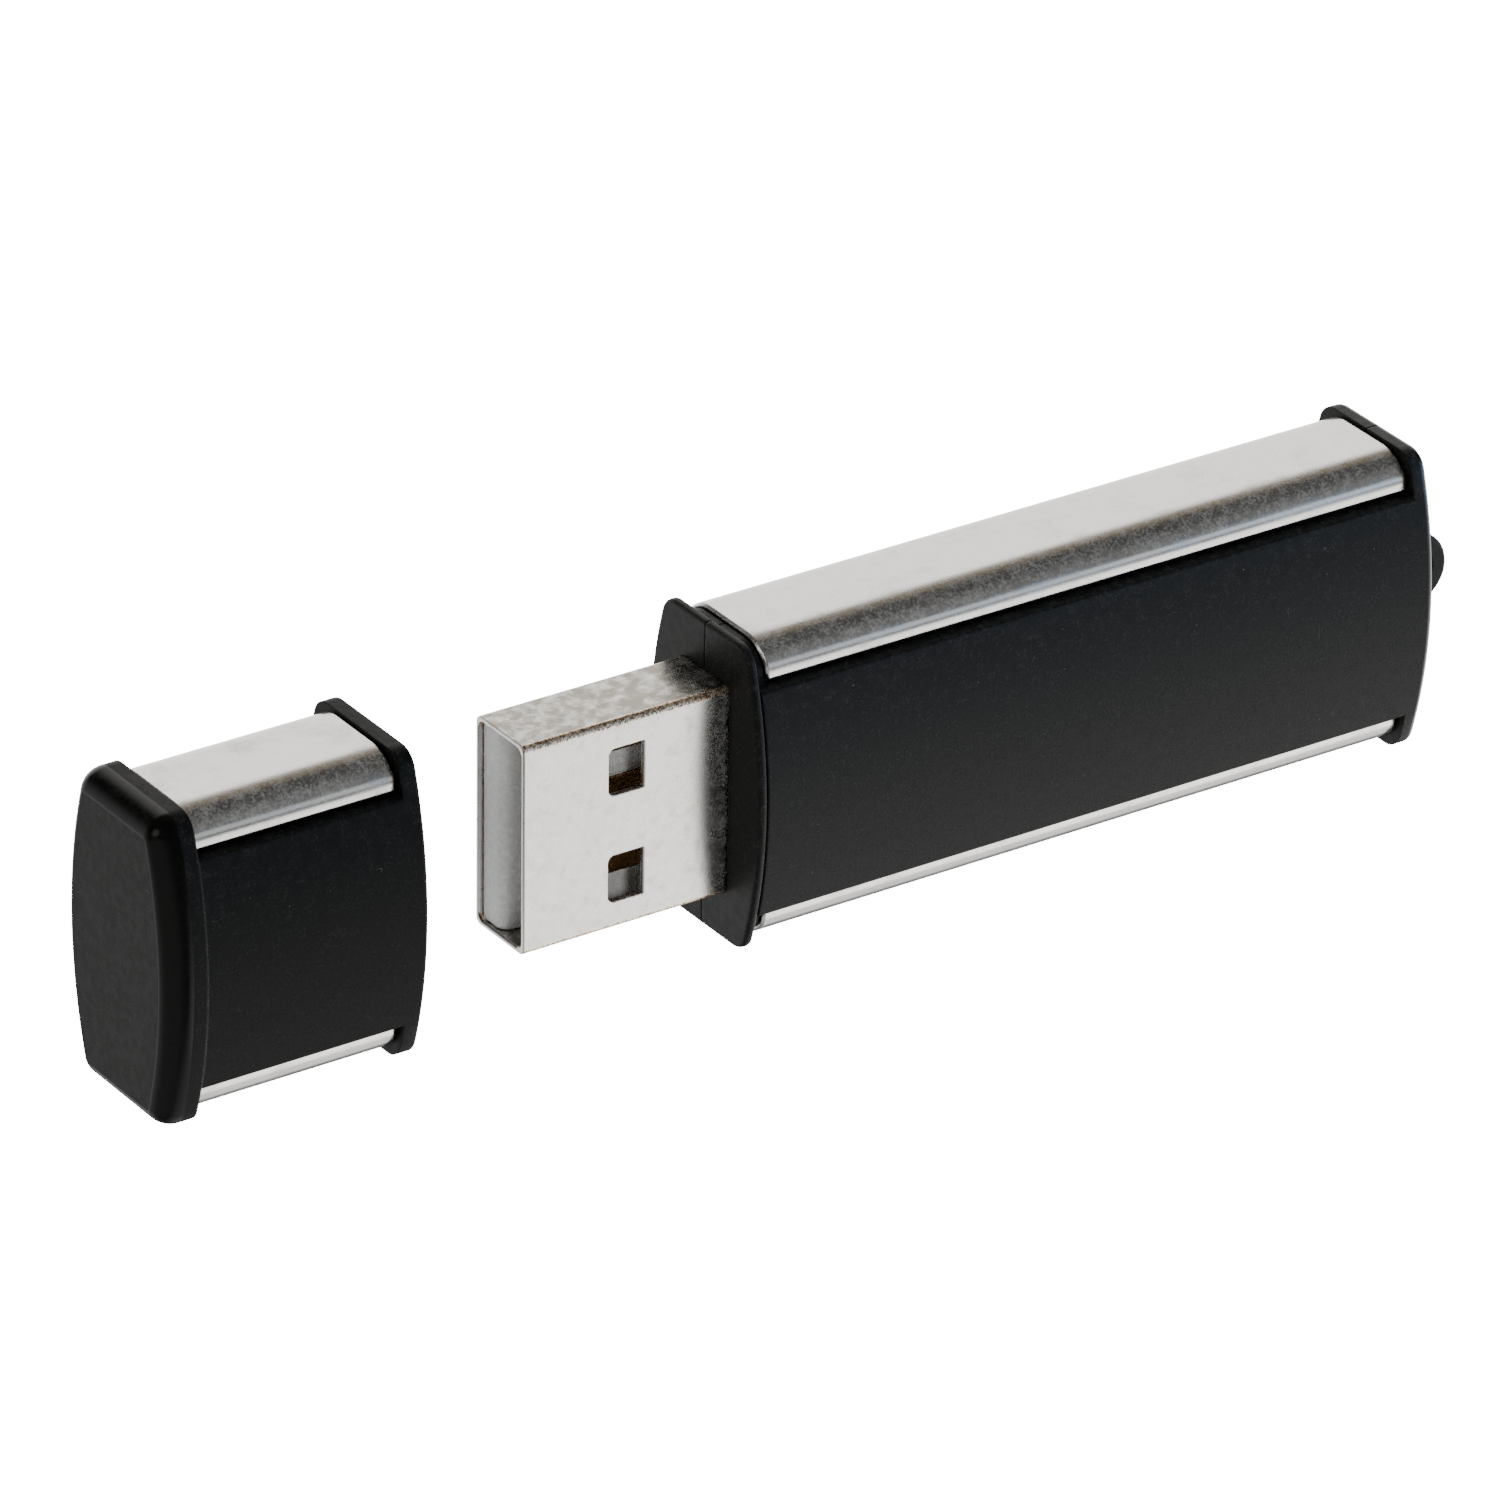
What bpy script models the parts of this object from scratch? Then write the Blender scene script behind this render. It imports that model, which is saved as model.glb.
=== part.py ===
"""USB flash drive with steel bands and a loose cap, standing on its narrow edge.

X runs along the drive, from the cap towards the lanyard lug. Y is the thickness and Z the width.
Lengths along X are measured from the collar face, where the plug leaves the body.
"""

import math

import bmesh
import bpy
from mathutils import Vector

MM = 0.001

# Plug, to the USB Standard-A outline
PLUG_WIDTH = 12.0 * MM
PLUG_THICKNESS = 4.5 * MM
PLUG_LENGTH = 12.4 * MM
PLUG_SHEET = 0.3 * MM
PLUG_CORNER = 0.45 * MM
PLUG_TAIL = 5.0 * MM
PLUG_TAIL_STEP = 0.1 * MM
PLUG_STEP_GAP = 0.15 * MM
WINDOW_START = 5.17 * MM
WINDOW_LENGTH = 2.1 * MM
WINDOW_HEIGHT = 2.63 * MM
WINDOW_OFFSET = 3.07 * MM
TONGUE_RECESS = 0.55 * MM
TONGUE_TAIL = 2.0 * MM
CONTACT_WIDTH = 1.0 * MM
CONTACT_SHEET = 0.2 * MM
CONTACT_TAIL = 4.4 * MM
POWER_CONTACT_RECESS = 1.5 * MM
DATA_CONTACT_RECESS = 2.5 * MM
POWER_CONTACT_OFFSET = 3.5 * MM
DATA_CONTACT_OFFSET = 1.0 * MM

# Body and cap cross-section
FLANGE_WIDTH = 17.5 * MM
BODY_THICKNESS = 10.4 * MM
EDGE_THICKNESS = 7.5 * MM
FLANGE_CORNER = 1.3 * MM
WALL = 1.2 * MM

# Body along X
BODY_LENGTH = 42.9 * MM
FRONT_FLANGE = 0.45 * MM
FLANGE_GROOVE = 0.1 * MM
GROOVE_DEPTH = 0.35 * MM
SECOND_RIM = 0.68 * MM
REAR_FLANGE = 1.03 * MM
REAR_EDGE_ROUND = 0.4 * MM
FLANGE_EDGE_ROUND = 0.1 * MM
FRONT_WALL = 1.6 * MM
REAR_WALL = 1.7 * MM
CAVITY_CLEARANCE = 0.2 * MM
CAVITY_CORNER = 1.0 * MM

# Steel bands
BAND_WIDTH = 17.2 * MM
BAND_SHEET = 0.35 * MM
BAND_FLAT = 3.8 * MM
BAND_SPREAD = 7.6 * MM
FLANK_DROP = 1.12 * MM
LIP_DROP = 0.75 * MM
BAND_BEND = 0.45 * MM
CREASE_BEND = 0.35 * MM
LIP_CLEARANCE = 0.25 * MM
BAND_END_CLEARANCE = 0.06 * MM

# Lanyard lug
LUG_RADIUS = 2.1 * MM
LUG_REACH = 3.9 * MM
LUG_THICKNESS = 2.2 * MM
LUG_EDGE_ROUND = 0.2 * MM
LANYARD_HOLE = 2.0 * MM

# Locating pins between the two housing halves
PIN_DIAMETER = 0.9 * MM
PIN_LENGTH = 0.9 * MM
PIN_INSET = 5.0 * MM

# Cap
CAP_LENGTH = 15.2 * MM
CAP_END_RIM = 2.25 * MM
CAP_END_ROUND = 1.1 * MM
CAP_MOUTH_FLANGE = 1.0 * MM
CAP_GAP = 19.9 * MM
CAP_MOUTH_RECESS = 0.9 * MM
CAP_RIB_HEIGHT = 0.48 * MM
CAP_CAVITY_CORNER = 1.4 * MM
CAP_TIP_CLEARANCE = 0.4 * MM
RIB_THICKNESS = 0.8 * MM
RIB_OFFSET = 3.4 * MM

# Circuit board and what is on it
BOARD_WIDTH = 12.0 * MM
BOARD_THICKNESS = 0.8 * MM
BOARD_LENGTH = 34.0 * MM
BOARD_START = 5.4 * MM
BOARD_NECK_START = 2.4 * MM
MEMORY_SIZE = Vector((18.4, 1.0, 11.4)) * MM
MEMORY_CENTRE = 27.0 * MM
MEMORY_LEADS = 24
CONTROLLER_SIZE = Vector((7.0, 1.2, 7.0)) * MM
CONTROLLER_CENTRE = 14.0 * MM
CONTROLLER_LEADS = 12
LEAD_PITCH = 0.45 * MM
LEAD_WIDTH = 0.2 * MM
LEAD_REACH = 0.6 * MM
LEAD_SHEET = 0.15 * MM
CRYSTAL_SIZE = Vector((5.0, 1.2, 3.2)) * MM
CRYSTAL_CENTRE = 24.0 * MM
LED_SIZE = Vector((1.6, 0.6, 0.8)) * MM
LED_CENTRE = 37.6 * MM
REGULATOR_SIZE = Vector((2.9, 1.1, 1.6)) * MM
REGULATOR_CENTRE = 30.0 * MM
CAPACITOR_SIZE = Vector((1.6, 0.8, 0.8)) * MM
CAPACITOR_START = 8.4 * MM
CAPACITOR_PITCH = 2.6 * MM
CAPACITORS = 4
RESISTOR_SIZE = Vector((1.0, 0.35, 0.5)) * MM
RESISTOR_START = 33.0 * MM
RESISTOR_PITCH = 1.6 * MM
RESISTORS = 3
SOLDER_GAP = 0.05 * MM

# Clearances
FIT = 0.05 * MM
SLIDING_FIT = 0.12 * MM
PARTING_GAP = 0.03 * MM
OVERLAP = 0.5 * MM

# Curve resolution
SIDE_STEPS = 14
CORNER_STEPS = 5
CIRCLE_STEPS = 32

# Derived places
COLLAR_X = (CAP_GAP + CAP_LENGTH - BODY_LENGTH - LUG_REACH) / 2
ORIGIN = Vector((COLLAR_X, 0.0, FLANGE_WIDTH / 2))
BAND_START = FRONT_FLANGE + FLANGE_GROOVE + SECOND_RIM + BAND_END_CLEARANCE
BAND_END = BODY_LENGTH - REAR_FLANGE - BAND_END_CLEARANCE
CAP_MOUTH_X = -CAP_GAP
CAP_END_X = CAP_MOUTH_X - CAP_LENGTH
CAP_BAND_START = CAP_END_X + CAP_END_RIM + BAND_END_CLEARANCE
CAP_BAND_END = CAP_MOUTH_X - CAP_MOUTH_FLANGE - BAND_END_CLEARANCE
CAP_CAVITY_DEPTH = PLUG_LENGTH + CAP_TIP_CLEARANCE
LIP_END_Z = BAND_WIDTH / 2 - FLANK_DROP - LIP_DROP
PANEL_HALF_WIDTH = LIP_END_Z - LIP_CLEARANCE
CORE_INSET = BAND_SHEET + FIT
CAVITY_WIDTH = max(BOARD_WIDTH, PLUG_WIDTH, MEMORY_SIZE.z) + 2 * CAVITY_CLEARANCE
CAP_CAVITY_WIDTH = PLUG_WIDTH + 2 * (SLIDING_FIT + CAP_RIB_HEIGHT)
BOARD_BACK_Y = FIT + BOARD_THICKNESS


def clear_scene():
    """Remove every object of the scene."""
    for item in list(bpy.data.objects):
        bpy.data.objects.remove(item, do_unlink=True)


def new_collection(name):
    """Return a new collection linked to the scene."""
    collection = bpy.data.collections.new(name)
    bpy.context.scene.collection.children.link(collection)
    return collection


def material(name, colour, roughness, metallic=0.0):
    """Return a Principled material."""
    result = bpy.data.materials.new(name)
    result.use_nodes = True
    shader = result.node_tree.nodes["Principled BSDF"]
    shader.inputs["Base Color"].default_value = (*colour, 1.0)
    shader.inputs["Roughness"].default_value = roughness
    shader.inputs["Metallic"].default_value = metallic
    return result


def arc(centre, radius, start, end, steps):
    """Return points of an arc about centre, from angle start to angle end."""
    angles = [start + (end - start) * step / steps for step in range(steps + 1)]
    return [(centre[0] + radius * math.cos(a), centre[1] + radius * math.sin(a)) for a in angles]


def fillet(before, corner, after, radius):
    """Return the arc that rounds one corner of a path."""
    corner = Vector(corner)
    towards = (Vector(before) - corner).normalized()
    onwards = (Vector(after) - corner).normalized()
    half_angle = towards.angle(onwards) / 2
    centre = corner + (towards + onwards).normalized() * (radius / math.sin(half_angle))
    start = corner + towards * (radius / math.tan(half_angle)) - centre
    turn = start.angle_signed(corner + onwards * (radius / math.tan(half_angle)) - centre)
    first = math.atan2(start.y, start.x)
    return arc(centre, radius, first, first - turn, CORNER_STEPS)


def rounded_outline(corners, radius):
    """Return a closed outline with every corner rounded."""
    points = []
    for index, corner in enumerate(corners):
        following = corners[(index + 1) % len(corners)]
        points.extend(fillet(corners[index - 1], corner, following, radius))
    return points


def rectangle(half_y, half_z):
    """Return the corners of a centred rectangle."""
    return [(half_y, -half_z), (half_y, half_z), (-half_y, half_z), (-half_y, -half_z)]


def side_radius():
    """Return the radius of the bulging wide faces."""
    half_width = FLANGE_WIDTH / 2
    bulge = (BODY_THICKNESS - EDGE_THICKNESS) / 2
    return (half_width ** 2 + bulge ** 2) / (2 * bulge)


def half_thickness(z):
    """Return the half thickness of the barrel section at height z."""
    radius = side_radius()
    return BODY_THICKNESS / 2 - radius + math.sqrt(radius ** 2 - z ** 2)


def barrel_outline(half_width, corner, inset=0.0):
    """Return the barrel section: bulging sides, flat top and bottom, round corners."""
    radius = side_radius() - inset
    centre_y = BODY_THICKNESS / 2 - inset - radius
    corner_z = half_width - corner
    corner_y = centre_y + math.sqrt((radius - corner) ** 2 - corner_z ** 2)
    spread = math.atan2(corner_z, corner_y - centre_y)
    lower = arc((corner_y, -corner_z), corner, -math.pi / 2, -spread, CORNER_STEPS)
    side = arc((centre_y, 0.0), radius, -spread, spread, SIDE_STEPS)
    upper = arc((corner_y, corner_z), corner, spread, math.pi / 2, CORNER_STEPS)
    right = lower[:-1] + side + upper[1:]
    return right + [(-y, z) for y, z in reversed(right)]


def flange_outline(inset=0.0):
    """Return the full section of the flanges, or one set in from it."""
    return barrel_outline(FLANGE_WIDTH / 2 - inset, FLANGE_CORNER - inset, inset)


def panel_outline():
    """Return the section of the wide faces between the bands."""
    heights = [PANEL_HALF_WIDTH * (2 * step / SIDE_STEPS - 1) for step in range(SIDE_STEPS + 1)]
    right = [(half_thickness(z), z) for z in heights]
    return right + [(-y, z) for y, z in reversed(right)]


def band_corners(inset=0.0):
    """Return the corners of one band's section, from lip to lip, set in by the given depth."""
    top = BAND_WIDTH / 2
    flank_angle = math.atan2(FLANK_DROP, (BAND_SPREAD - BAND_FLAT) / 2)
    flat_half = BAND_FLAT / 2 - inset * math.tan(flank_angle / 2)
    lip_y = BAND_SPREAD / 2 - inset
    crease_z = top - FLANK_DROP - inset * math.tan((math.pi / 2 - flank_angle) / 2)
    side = [(lip_y, LIP_END_Z), (lip_y, crease_z), (flat_half, top - inset)]
    return side + [(-y, z) for y, z in reversed(side)]


def core_outline():
    """Return the section of the body under both bands."""
    upper = band_corners(CORE_INSET)
    return upper + [(y, -z) for y, z in reversed(upper)]


def rim_outline():
    """Return the section of the second rim, squarer than the bands."""
    half_z = BAND_WIDTH / 2 - BAND_SHEET / 2
    corner_y = BAND_FLAT / 2 + BAND_SHEET
    shoulder_z = BAND_WIDTH / 2 - FLANK_DROP - BAND_SHEET
    shoulder_y = half_thickness(shoulder_z) - BAND_SHEET
    upper = [(corner_y, half_z), (shoulder_y, shoulder_z)]
    middle = [(y, z) for y, z in reversed(panel_outline()[:SIDE_STEPS + 1])]
    right = upper + middle + [(y, -z) for y, z in reversed(upper)]
    return right + [(-y, z) for y, z in reversed(right)]


def link(name, mesh, collection, finish=None):
    """Turn a bmesh into an object of the collection, standing at the drive's origin."""
    bmesh.ops.recalc_face_normals(mesh, faces=mesh.faces)
    data = bpy.data.meshes.new(name)
    mesh.to_mesh(data)
    mesh.free()
    data.shade_smooth()
    data.set_sharp_from_angle(angle=math.radians(30))
    item = bpy.data.objects.new(name, data)
    item.location = ORIGIN
    collection.objects.link(item)
    if finish:
        data.materials.append(finish)
    return item


def extruded(points, travel):
    """Return a bmesh of a flat closed outline swept along a vector."""
    mesh = bmesh.new()
    face = mesh.faces.new([mesh.verts.new(point) for point in points])
    swept = bmesh.ops.extrude_face_region(mesh, geom=[face])
    moved = [item for item in swept["geom"] if isinstance(item, bmesh.types.BMVert)]
    bmesh.ops.translate(mesh, verts=moved, vec=travel)
    return mesh


def round_end(mesh, x, radius, steps=4):
    """Round the edges of a bmesh that lie in the plane at x."""
    tolerance = 0.001 * MM
    edges = [e for e in mesh.edges if all(abs(v.co.x - x) < tolerance for v in e.verts)]
    bmesh.ops.bevel(mesh, geom=edges, offset=radius, segments=steps, profile=0.5, affect="EDGES")


def prism(outline, start, end):
    """Return a bmesh of a (y, z) outline that runs along X from start to end."""
    return extruded([(start, y, z) for y, z in outline], Vector((end - start, 0.0, 0.0)))


def block(low, high):
    """Return a bmesh of a box between two corners."""
    base = [(low[0], low[2]), (high[0], low[2]), (high[0], high[2]), (low[0], high[2])]
    points = [(x, low[1], z) for x, z in base]
    return extruded(points, Vector((0.0, high[1] - low[1], 0.0)))


def cylinder_y(x, z, diameter, y_low, y_high):
    """Return a bmesh of a cylinder along Y."""
    circle = arc((x, z), diameter / 2, 0.0, 2 * math.pi, CIRCLE_STEPS)[:-1]
    return extruded([(a, y_low, b) for a, b in circle], Vector((0.0, y_high - y_low, 0.0)))


def combine(target, tool, operation):
    """Add an exact Boolean modifier to the target."""
    modifier = target.modifiers.new(tool.name, "BOOLEAN")
    modifier.operation = operation
    modifier.solver = "EXACT"
    modifier.object = tool


def hide_tool(tool):
    """Show a Boolean operand as wire and leave it out of renders."""
    tool.display_type = "WIRE"
    tool.hide_render = True


class Workshop:
    """Makes parts and Boolean operands in their own collections."""

    def __init__(self):
        self.parts = new_collection("usb_flash_drive")
        self.tools = new_collection("cutters")

    def part(self, name, mesh, finish):
        """Link a bmesh as a part."""
        return link(name, mesh, self.parts, finish)

    def tool(self, name, mesh):
        """Link a bmesh as a Boolean operand."""
        item = link(name, mesh, self.tools)
        hide_tool(item)
        return item

    def cut(self, target, name, mesh):
        """Take a shape out of the target."""
        combine(target, self.tool(name, mesh), "DIFFERENCE")

    def join(self, target, name, mesh):
        """Add a shape to the target."""
        combine(target, self.tool(name, mesh), "UNION")

    def keep(self, target, name, mesh):
        """Keep only what of the target is inside the shape."""
        combine(target, self.tool(name, mesh), "INTERSECT")


def lug_mesh():
    """Return the lanyard lug: a plate with a round end."""
    centre_x = BODY_LENGTH + LUG_REACH - LUG_RADIUS
    root_x = BODY_LENGTH - OVERLAP
    outline = arc((centre_x, 0.0), LUG_RADIUS, -math.pi / 2, math.pi / 2, CIRCLE_STEPS // 2)
    outline += [(root_x, LUG_RADIUS), (root_x, -LUG_RADIUS)]
    points = [(x, -LUG_THICKNESS / 2, z) for x, z in outline]
    mesh = extruded(points, Vector((0.0, LUG_THICKNESS, 0.0)))
    rims = [e for e in mesh.edges if abs(e.verts[0].co.y - e.verts[1].co.y) < LUG_EDGE_ROUND]
    bmesh.ops.bevel(mesh, geom=rims, offset=LUG_EDGE_ROUND, segments=3, profile=0.5, affect="EDGES")
    return mesh


def front_flange_mesh():
    """Return the flange round the plug."""
    mesh = prism(flange_outline(), 0.0, FRONT_FLANGE)
    round_end(mesh, 0.0, FLANGE_EDGE_ROUND, 2)
    round_end(mesh, FRONT_FLANGE, FLANGE_EDGE_ROUND, 2)
    return mesh


def rear_flange_mesh():
    """Return the flange at the lug end, with its rounded rear edge."""
    mesh = prism(flange_outline(), BODY_LENGTH - REAR_FLANGE, BODY_LENGTH)
    round_end(mesh, BODY_LENGTH, REAR_EDGE_ROUND)
    return mesh


def housing_half(shop, side, name, finish):
    """Build one of the two moulded halves; side is -1 for the front and 1 for the back."""
    inner_end = BODY_LENGTH - REAR_FLANGE
    core = prism(core_outline(), OVERLAP, BODY_LENGTH - OVERLAP)
    half = shop.part(name, core, finish)
    rim_start = FRONT_FLANGE + FLANGE_GROOVE
    groove = prism(flange_outline(GROOVE_DEPTH), FRONT_FLANGE - FLANGE_GROOVE, rim_start + FLANGE_GROOVE)
    shop.join(half, name + "_groove", groove)
    shop.join(half, name + "_front_flange", front_flange_mesh())
    shop.join(half, name + "_rim", prism(rim_outline(), rim_start, rim_start + SECOND_RIM))
    shop.join(half, name + "_panel", prism(panel_outline(), rim_start, inner_end + FIT))
    shop.join(half, name + "_rear_flange", rear_flange_mesh())
    shop.join(half, name + "_lug", lug_mesh())
    cavity = barrel_outline(CAVITY_WIDTH / 2, CAVITY_CORNER, WALL)
    shop.cut(half, name + "_cavity", prism(cavity, FRONT_WALL, BODY_LENGTH - REAR_WALL))
    slot = rounded_outline(rectangle(PLUG_THICKNESS / 2 + FIT, PLUG_WIDTH / 2 + FIT), PLUG_CORNER + FIT)
    shop.cut(half, name + "_plug_slot", prism(slot, -OVERLAP, FRONT_WALL + OVERLAP))
    hole_x = BODY_LENGTH + LUG_REACH - LUG_RADIUS
    hole = cylinder_y(hole_x, 0.0, LANYARD_HOLE, -LUG_THICKNESS, LUG_THICKNESS)
    shop.cut(half, name + "_lanyard_hole", hole)
    near, far = sorted((side * PARTING_GAP, side * BODY_THICKNESS))
    reach = FLANGE_WIDTH
    shop.keep(half, name + "_side", block((-reach, near, -reach), (BODY_LENGTH + reach, far, reach)))
    return half


def pin_places():
    """Return the (x, z) places of the four locating pins."""
    pin_z = (CAVITY_WIDTH / 2 + BAND_WIDTH / 2 - CORE_INSET) / 2
    return [(x, z) for x in (PIN_INSET, BODY_LENGTH - PIN_INSET) for z in (-pin_z, pin_z)]


def build_housing(shop):
    """Build both halves, with pins on the front one and sockets in the back one."""
    black = material("black_plastic", (0.012, 0.013, 0.014), 0.45)
    front = housing_half(shop, -1, "housing_front", black)
    back = housing_half(shop, 1, "housing_back", black)
    for number, (x, z) in enumerate(pin_places(), 1):
        pin = cylinder_y(x, z, PIN_DIAMETER, -PIN_LENGTH, PIN_LENGTH)
        shop.join(front, f"pin_{number}", pin)
        socket = cylinder_y(x, z, PIN_DIAMETER + 2 * FIT, -PIN_LENGTH, PIN_LENGTH + FIT)
        shop.cut(back, f"pin_socket_{number}", socket)


def band_mesh(start, end, side):
    """Return the bent centre sheet of one band as an open surface, before it gets its thickness."""
    corners = [(y, side * z) for y, z in band_corners()]
    bends = [CREASE_BEND, BAND_BEND, BAND_BEND, CREASE_BEND]
    path = [corners[0]]
    for index, radius in enumerate(bends, 1):
        path.extend(fillet(corners[index - 1], corners[index], corners[index + 1], radius))
    path.append(corners[-1])
    mesh = bmesh.new()
    verts = [mesh.verts.new((start, y, z)) for y, z in path]
    edges = [mesh.edges.new(pair) for pair in zip(verts, verts[1:])]
    swept = bmesh.ops.extrude_edge_only(mesh, edges=edges)
    moved = [item for item in swept["geom"] if isinstance(item, bmesh.types.BMVert)]
    bmesh.ops.translate(mesh, verts=moved, vec=Vector((end - start, 0.0, 0.0)))
    return mesh


def faces_away(item):
    """Tell whether the faces of an open sheet point away from the drive's middle line."""
    middle = max(item.data.polygons, key=lambda face: face.area)
    return middle.normal.z * middle.center.z > 0


def build_band(shop, name, start, end, side, finish):
    """Build one band: a bent sheet given its thickness towards the body."""
    band = shop.part(name, band_mesh(start, end, side), finish)
    solid = band.modifiers.new("sheet", "SOLIDIFY")
    solid.thickness = BAND_SHEET
    solid.offset = -1.0 if faces_away(band) else 1.0
    solid.use_even_offset = True
    return band


def build_bands(shop):
    """Build the two body bands and the two cap bands."""
    steel = material("brushed_steel", (0.62, 0.61, 0.59), 0.32, 1.0)
    build_band(shop, "top_band", BAND_START, BAND_END, 1, steel)
    build_band(shop, "bottom_band", BAND_START, BAND_END, -1, steel)
    build_band(shop, "cap_top_band", CAP_BAND_START, CAP_BAND_END, 1, steel)
    build_band(shop, "cap_bottom_band", CAP_BAND_START, CAP_BAND_END, -1, steel)


def build_plug_shell(shop):
    """Build the plug's folded steel tube with its four latch windows."""
    steel = material("plated_steel", (0.6, 0.59, 0.57), 0.3, 1.0)
    outer = rounded_outline(rectangle(PLUG_THICKNESS / 2, PLUG_WIDTH / 2), PLUG_CORNER)
    shell = shop.part("plug_shell", prism(outer, -PLUG_LENGTH, PLUG_TAIL), steel)
    half_y = PLUG_THICKNESS / 2 - PLUG_SHEET
    half_z = PLUG_WIDTH / 2 - PLUG_SHEET
    inner = rounded_outline(rectangle(half_y, half_z), PLUG_CORNER - PLUG_SHEET)
    shop.cut(shell, "plug_bore", prism(inner, -PLUG_LENGTH - OVERLAP, PLUG_TAIL + OVERLAP))
    tail_y = PLUG_THICKNESS / 2 - PLUG_TAIL_STEP
    for name, low_y, high_y in (("front", -PLUG_THICKNESS, -tail_y), ("back", tail_y, PLUG_THICKNESS)):
        low = (-PLUG_STEP_GAP, low_y, -PLUG_WIDTH)
        shop.cut(shell, name + "_tail_step", block(low, (PLUG_TAIL + OVERLAP, high_y, PLUG_WIDTH)))
    start = -PLUG_LENGTH + WINDOW_START
    for name, centre in (("upper", WINDOW_OFFSET), ("lower", -WINDOW_OFFSET)):
        low = (start, -PLUG_THICKNESS, centre - WINDOW_HEIGHT / 2)
        high = (start + WINDOW_LENGTH, PLUG_THICKNESS, centre + WINDOW_HEIGHT / 2)
        shop.cut(shell, name + "_windows", block(low, high))


def build_tongue(shop):
    """Build the white insulator that carries the contacts."""
    white = material("white_insulator", (0.6, 0.6, 0.57), 0.5)
    half_z = PLUG_WIDTH / 2 - PLUG_SHEET - FIT
    back_y = PLUG_THICKNESS / 2 - PLUG_SHEET - FIT
    low = (-PLUG_LENGTH + TONGUE_RECESS, 0.0, -half_z)
    shop.part("plug_tongue", block(low, (TONGUE_TAIL, back_y, half_z)), white)


def build_contacts(shop):
    """Build the four gold contacts that lie on the tongue and end on the board."""
    gold = material("gold_contact", (0.55, 0.38, 0.14), 0.3, 1.0)
    rows = (
        ("contact_power", POWER_CONTACT_RECESS, POWER_CONTACT_OFFSET),
        ("contact_data_minus", DATA_CONTACT_RECESS, DATA_CONTACT_OFFSET),
        ("contact_data_plus", DATA_CONTACT_RECESS, -DATA_CONTACT_OFFSET),
        ("contact_ground", POWER_CONTACT_RECESS, -POWER_CONTACT_OFFSET),
    )
    for name, recess, centre in rows:
        low = (-PLUG_LENGTH + recess, -SOLDER_GAP - CONTACT_SHEET, centre - CONTACT_WIDTH / 2)
        high = (CONTACT_TAIL, -SOLDER_GAP, centre + CONTACT_WIDTH / 2)
        shop.part(name, block(low, high), gold)


def build_board(shop):
    """Build the circuit board with the neck that reaches into the plug."""
    green = material("solder_mask", (0.01, 0.09, 0.04), 0.35)
    half_z = BOARD_WIDTH / 2
    neck_z = PLUG_WIDTH / 2 - PLUG_SHEET - CAVITY_CLEARANCE
    end = BOARD_START + BOARD_LENGTH
    outline = [(BOARD_NECK_START, -neck_z), (BOARD_START, -neck_z), (BOARD_START, -half_z), (end, -half_z)]
    outline += [(x, -z) for x, z in reversed(outline)]
    points = [(x, FIT, z) for x, z in outline]
    shop.part("circuit_board", extruded(points, Vector((0.0, BOARD_THICKNESS, 0.0))), green)


def on_board(size, x, z, front):
    """Return the two corners of a component that stands on the board's front or back."""
    if front:
        y_low = FIT - SOLDER_GAP - size.y
    else:
        y_low = BOARD_BACK_Y + SOLDER_GAP
    low = (x - size.x / 2, y_low, z - size.z / 2)
    return low, (x + size.x / 2, y_low + size.y, z + size.z / 2)


def lead_row(shop, chip, corners, count, along_x):
    """Join one row of leads, which crosses the chip and comes out on two sides."""
    low, high = corners
    middle = ((low[0] + high[0]) / 2, (low[2] + high[2]) / 2)
    y = (low[1] + high[1]) / 2
    for number in range(count):
        offset = (number - (count - 1) / 2) * LEAD_PITCH
        half = LEAD_WIDTH / 2
        if along_x:
            start = (low[0] - LEAD_REACH, y, middle[1] + offset - half)
            end = (high[0] + LEAD_REACH, y + LEAD_SHEET, middle[1] + offset + half)
        else:
            start = (middle[0] + offset - half, y, low[2] - LEAD_REACH)
            end = (middle[0] + offset + half, y + LEAD_SHEET, high[2] + LEAD_REACH)
        direction = "x" if along_x else "z"
        shop.join(chip, f"{chip.name}_lead_{direction}_{number}", block(start, end))


def build_chips(shop):
    """Build the memory chip on the board's front and the controller on its back."""
    black = material("chip_resin", (0.02, 0.02, 0.022), 0.6)
    corners = on_board(MEMORY_SIZE, MEMORY_CENTRE, 0.0, True)
    memory = shop.part("memory_chip", block(*corners), black)
    lead_row(shop, memory, corners, MEMORY_LEADS, True)
    corners = on_board(CONTROLLER_SIZE, CONTROLLER_CENTRE, 0.0, False)
    controller = shop.part("controller_chip", block(*corners), black)
    lead_row(shop, controller, corners, CONTROLLER_LEADS, True)
    lead_row(shop, controller, corners, CONTROLLER_LEADS, False)


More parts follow.
